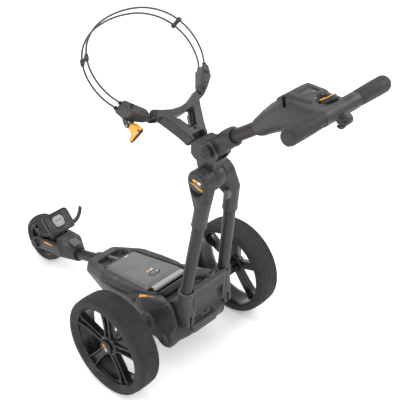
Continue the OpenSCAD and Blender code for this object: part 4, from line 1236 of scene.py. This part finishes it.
# ---------------------------------------------------------------- rear casing
def casing():
    deck_pts = []
    for x, s, r, n in ((38, -170, 27, -27), (40, -176, 27, -46), (68, -78, 28, -27), (86, -20, 20, -27),
                       (92, 70, 20, -27),
                       (36, -148, 18, -87), (72, -50, 20, -87), (76, 90, 20, -87)):
        deck_pts += [in_frame(disc(k * x, s, n, n + 1, r, 32), DECK) for k in (1, -1)]
    rear = hull(rod(-101, 101, 60, 140, 44), rod(-114, 114, 60, 140, 33), rod(-116, 116, 62, 128, 22),
                rod(-99, 99, 122, 122, 40), rod(-112, 112, 122, 122, 29), rod(-56, 56, 156, 130, 26),
                rod(-86, 86, 122, 152, 22))
    hump = hull(rod(-98, 98, 66, 150, 36), rod(-44, 44, 149, 205, 15), rod(-92, 92, 112, 172, 12),
                rod(-40, 40, 158, 140, 24))
    shoulder = hull(in_frame(disc(84, 64, -24, -20, 17, 32), DECK),
                    in_frame(disc(64, 124, -24, -20, 17, 32), DECK),
                    rod(97, 106, 40, 180, 18), rod(99.5, 103, 147, 226, 18, 48), rod(99, 104, 158, 176, 16),
                    rod(99, 108, 100, 180, 20), rod(95, 115, 70, 140, 34), rod(95, 112, 124, 132, 30))
    sides = [shoulder, hull(rod(90, 100, *AXLE, 30, 48), rod(100, 122, *AXLE, 25, 48)),
             rod(110, 196, *AXLE, 23.5, 48),
             hull(rod(84, 108, 130, 112, 33, 48), rod(84, 113, 130, 112, 28, 48)),
             hull(rod(46.8, 58, 147, 225, 17.5, 48), block(46.8, 58, 130, 165, 166, 190))]
    neck = in_line(disc(0, 0, 0, 34, 24.5, 56), (0, -245, 131.5), (0, -300, 115))
    bay = in_frame(prism([(-57.5, -104), (57.5, -104), (74, 104), (62, 142), (-62, 142), (-74, 104)], -82,
                         20), DECK)
    leg_gap = side_slab(58.6, 94.2, [(120, 240), (129, 212), (138, 204), (146, 203), (192, 172), (215, 172),
                                     (215, 260), (126, 250)])
    tail_panel = side_slab(-42, 42, [(168, 178), (200, 178), (200, 147), (176, 149), (170, 156)])
    tail_top = side_slab(-38, 38, [(156, 216), (190, 216), (190, 186), (170, 188)])
    shapes = [hull(*deck_pts), rear, hump, neck, *sides, *[mirrored(s) for s in sides]]
    body = mould("rear_casing", "chassis", "casing", add=shapes,
          cut=[bay, leg_gap, mirrored(leg_gap), tail_panel, tail_top, rod(-201, 201, *AXLE, 9.1),
               in_line(disc(0, 0, 0, 90, 17.2, 48), (0, -235, 134.5), (0, -300, 115))],
          voxel=1.9, relax=8, fine=1.35, last=2, stands=["lower_case"])
    skin = BVHTree.FromPolygons([v.co for v in body.data.vertices], [p.vertices for p in body.data.polygons])
    for k, (y, z, half) in enumerate(((187, 146, 50), (188, 137, 48), (187, 128, 46))):
        shape = hull(rod(-half, half, y - 6, z, 4.2), rod(3 - half, half - 3, y, z, 2.6))
        bevel(build(f"bumper_rib_{k}", *shape, "casing_light", "chassis"), 0.6)
    frame_outline = round_rect(30, 25, 4)
    socket = [[(x * a, 183 + b, 185 + z * a) for x, z in frame_outline] for a,
              b in ((1.12, -8), (1.12, 3), (1, 4), (0.8, 3.4), (0.74, -4))]
    build("tow_socket_frame", *loft(socket, cap=False), "casing", "chassis")
    for side, place in both_sides(0, 147, 225):
        bolt = [(0.01, 111.4), (4.4, 111.4), (5, 109.2), (9, 109), (10, 111), (12.4, 111), (13.2, 109.6),
                (13.4, 101)]
        build("hinge_bolt_" + side, *lathe(bolt, 64, closed=False), "casing_dark", "chassis", place,
              ["hinge_brackets", "hinge_pins"] if side == "left" else ())
        build("hinge_ring_" + side, *ring(13.8, 16.9, 101, 110.4), "casing", "chassis", place)
        boss = [(0.01, 113.4), (20, 113.4), (22, 114.6), (24.2, 114.4), (25.4, 112.6), (26, 108)]
        build("gear_cover_" + side, *lathe(boss, 96, closed=False), "casing_dark", "chassis",
              place @ Matrix.Translation((-17 * MM, -113 * MM, 0)))
        decal(side, skin)


AXLE = (72, 150)


def decal(side, skin):
    """The orange flash on the rear shoulder, laid down onto the casing's skin."""
    turn = 1 if side == "left" else -1
    start, end = Vector((100, 20)), Vector((91, 76))
    across = Vector((0.96, 0.28))
    rings = []
    for i in range(25):
        t = i / 24
        width = 4.4 - 2.8 * smoothstep(0.42, 0.52, t) - 1.0 * t
        width *= smoothstep(-0.06, 0.04, t)
        row = []
        for k in (-1, -0.6, -0.2, 0.2, 0.6, 1):
            p = start.lerp(end, t) + across * (width * k)
            hit = skin.ray_cast(Vector((turn * p.x, p.y, 320)) * MM, Vector((0, 0, -1)))[0]
            row.append(hit / MM)
        rings.append([tuple(p + Vector((0, 0, 0.45))) for p in row] + [tuple(p - Vector((0, 0, 0.6)))
                                                                       for p in reversed(row)])
    build("shoulder_flash_" + side, *loft(rings), "accent", "chassis")


def in_frame(shape, matrix):
    """A shape given in a local frame, in world millimetres."""
    metres = [matrix @ (Vector(v) * MM) for v in shape[0]]
    return [tuple(v / MM) for v in metres], shape[1]


def in_line(shape, start, end):
    """A shape about z, laid from start towards end."""
    run = Vector(end) - Vector(start)
    return turned(shape, Matrix.Translation(Vector(start)) @ run.to_track_quat("Z", "Y").to_matrix().to_4x4())


# ---------------------------------------------------------------- front frame and cradle
def front_frame():
    body = hull(in_line(disc(0, 0, 0, 26, 24, 48), (0, -396, 86), (0, -300, 115)), rod(-42, 42, -436, 98, 22),
                rod(-34, 34, -414, 112, 18), rod(-46, 46, -430, 92, 12))
    arms = [hull(rod(36.2, 47.6, -538, 80, 19.5), rod(36.2, 47.6, -530, 84, 20), rod(36, 48, -470, 96, 20)),
            hull(rod(36, 48, -470, 96, 20), rod(30, 47, -432, 100, 20))]
    seat = hull(rod(-28, 28, -438, 122, 15), rod(-30, 30, -420, 104, 20), rod(-20, 20, -400, 108, 16))
    mould("front_fork_cast", "chassis", "casing", add=[body, seat, *arms, *[mirrored(a) for a in arms]],
          cut=[rod(-35.6, 35.6, -538, 80, 87), rod(-60, 60, -538, 80, 6), rod(43, 60, -538, 80, 15),
               in_line(disc(0, 0, 0, 120, 17.2, 48), (0, -425, 77.5), (0, -300, 115))],
          voxel=1.5, relax=7, fine=1.0, last=1, stands=["front_fork"])
    plate = loft([[(x * k, y, z * k + 34) for x, z in round_rect(100, 68, 12)]
                  for k, y in ((0.97, -10), (1.0, -8.5), (1.0, -1.2), (0.975, 0), (0.955, 0), (0.94, -2.2))])
    ribs = [block(x - 1.1, x + 1.1, -2.6, -0.6, 6, 62) for x in (-40, -34, -28, 28, 34, 40)]
    lip = hull(rod(-44, 44, -10, 4, 5), rod(-46, 46, -6, 0, 3.4))
    build("cradle_tray", *plate, "casing", "chassis", CRADLE, ["cradle_plate"])
    build("cradle_ribs", *together(*ribs), "casing_light", "chassis", CRADLE)
    bevel(build("cradle_lip", *lip, "casing", "chassis", CRADLE), 1.2)
    badge = [[(x * k, y, z * k + 36) for x, z in filleted([(-21, 4), (-15, 17), (15, 17), (21, 4),
                                                           (15, -19), (-15, -19)], 7)]
             for k, y in ((1, -2.4), (1, 1.2), (0.95, 1.9), (0.9, 1.6))]
    build("cradle_emblem", *loft(badge), "badge", "chassis", CRADLE, ["cradle_badge"])
    for k, x in enumerate((-9, 0, 9)):
        dot = turned(disc(0, 0, 1.5, 2.0, 2.1, 24), spin(-90, "X"))
        build(f"emblem_dot_{k}", *turned(dot, shift(x, 0, 38)), "casing_dark", "chassis", CRADLE)
    for s, tail in ((1, "left"), (-1, "right")):
        route = ((46, -5, 6, 6), (58, -4, 8, 6), (70, 0, 14, 6), (80, 6, 24, 6.5), (88, 12, 36, 7))
        pad = [hull(ball(s * x0, y0, z0, 4), ball(s * x0, y0, z0 + w0, 4), ball(s * x1, y1, z1, 4),
                    ball(s * x1, y1, z1 + w1, 4))
               for (x0, y0, z0, w0), (x1, y1, z1, w1) in zip(route, route[1:])]
        mould("cradle_pad_" + tail, "chassis", "casing", add=pad, at=CRADLE, voxel=1.2, relax=5, fine=0,
                    stands=["cradle_wings"] if s > 0 else [])
    stripe = spot(48.1, -470, 108) @ SIDE_FACE
    mark("fork_stripe", stripe, [(-24, -4), (22, 3), (24, 6), (-20, 1)], "accent", "chassis", 0.5)
    bevel(build("fork_catch", *hull(rod(-14, 14, -404, 132, 4), rod(-14, 14, -378, 128, 3.5)),
                "casing_light", "chassis"), 1)
    nut = [(0.01, 5), (5, 5), (7.2, 4.2), (8.4, 2.4), (8.6, -2), (0.01, -2)]
    build("axle_nut", *lathe(nut, 6, closed=False), "steel", "chassis",
          MIRROR @ spot(50, -538, 80) @ SIDE_FACE)
    knob = [(0.01, 60), (7, 60), (8.5, 59), (9.5, 59.4), (13.6, 59.2), (15.2, 57.4), (15.6, 50.6),
            (14.2, 48.6), (5, 48.6)]
    lobes = lambda r, z, a: (r - (1.8 * (0.5 + 0.5 * math.cos(6 * a)) if r > 13 else 0), z)
    build("tracking_grip", *lathe(knob, 120, lobes, closed=False), "casing_dark", "knob_tracking",
          spot(0, -538, 80) @ SIDE_FACE, ["tracking_knob"])


# ---------------------------------------------------------------- front wheel
FRONT_TREADS = 44


def front_tread(r, z, a):
    if r < 72:
        return r, z
    side = abs(z)
    depth = 1 - smoothstep(0.8, 1.5, abs(side - 6))
    if side > 7.5:
        turn = (a * FRONT_TREADS / (2 * math.pi) + side * 0.05) % 1.0
        depth = max(depth, (1 - smoothstep(0.06, 0.11, abs(turn - 0.5))) * (1 - smoothstep(19, 24, side)))
    return r - 1.2 * depth, z


def front_wheel():
    half = [(58.4, 20), (58.6, 26), (60.5, 28.3), (64, 28.9), (67.5, 28.4), (68.4, 27.7), (69.2, 28.0),
            (72, 26.4), (74.6, 23.4)]
    half += [(80 - 6.2 * (z / 24) ** 2.2, z) for z in (21.5, 20, 18.5, 17, 15.5, 14, 12.5, 11, 9.5, 8, 7.2,
                                                       6.6, 6, 5.4, 4.8, 3, 1.5)]
    profile = half + [(80, 0)] + [(r, -z) for r, z in reversed(half)]
    verts, faces = lathe(profile, 528, front_tread)
    build("front_tyre_tread", verts, faces, "tyre", "front_wheel", FRONT_WHEEL, ["front_tyre"])
    barrel = [(51.2, 22), (54, 23.5), (56.4, 26.4), (57.6, 27.4), (58.2, 26.2), (57.8, 20), (57.6, -20),
              (58.2, -26.2), (57.6, -27.4),
              (56.4, -26.4), (54, -23.5), (51.2, -22), (50.6, -10), (50.4, 10)]
    shapes = [lathe(barrel, 120)]
    for i in range(5):
        rings = []
        for y, half_w, top in ((14, 7.5, 25), (24, 6.5, 23.5), (38, 6.2, 22.5), (53, 8.5, 23)):
            for_side = [(half_w, top - 8), (half_w, top - 1.4), (half_w - 1.4, top),
                        (half_w - 3, top - 0.2), (half_w - 4, top - 2.2)]
            section = for_side + [(-x, z) for x, z in reversed(for_side)]
            rings.append([(x, y, z) for x, z in section])
        shapes.append(turned(loft(rings), spin(72 * i)))
        shapes.append(turned(turned(loft(rings), spin(180, "Y")), spin(72 * i)))
    hub = [(7.1, -17), (11.0, -17.6), (11.0, -27.6), (13.5, -28), (16, -26), (17, -20), (17.4, -6),
           (17.4, 6), (17, 20), (16, 26), (13.5, 28), (11.0, 27.6),
           (11.0, 17.6), (7.1, 17)]
    shapes.append(lathe(hub, 72))
    rim = build("front_rim_spoked", *together(*shapes), "rim", "front_wheel", FRONT_WHEEL, ["front_rim"])
    bevel(rim, 0.4, 2, 40)


for node, obj in NODES.items():
    dress(obj, SLOT_OF[node])
    soften(obj)

camera()
studio()
straps()
handle()
hub()
stem()
leg_head()
leg_base()
bracket()
wing("left", WORLD)
wing("right", MIRROR)
strap_fittings()
surround()
battery()
casing()
front_frame()
for side, place, body in (("left", LEFT_WHEEL, "left_wheel"), ("right", RIGHT_WHEEL, "right_wheel")):
    rear_tyre(side, place, body)
    rear_rim(side, place, body)
    hub_cap(side, place, side + "_button")
front_wheel()
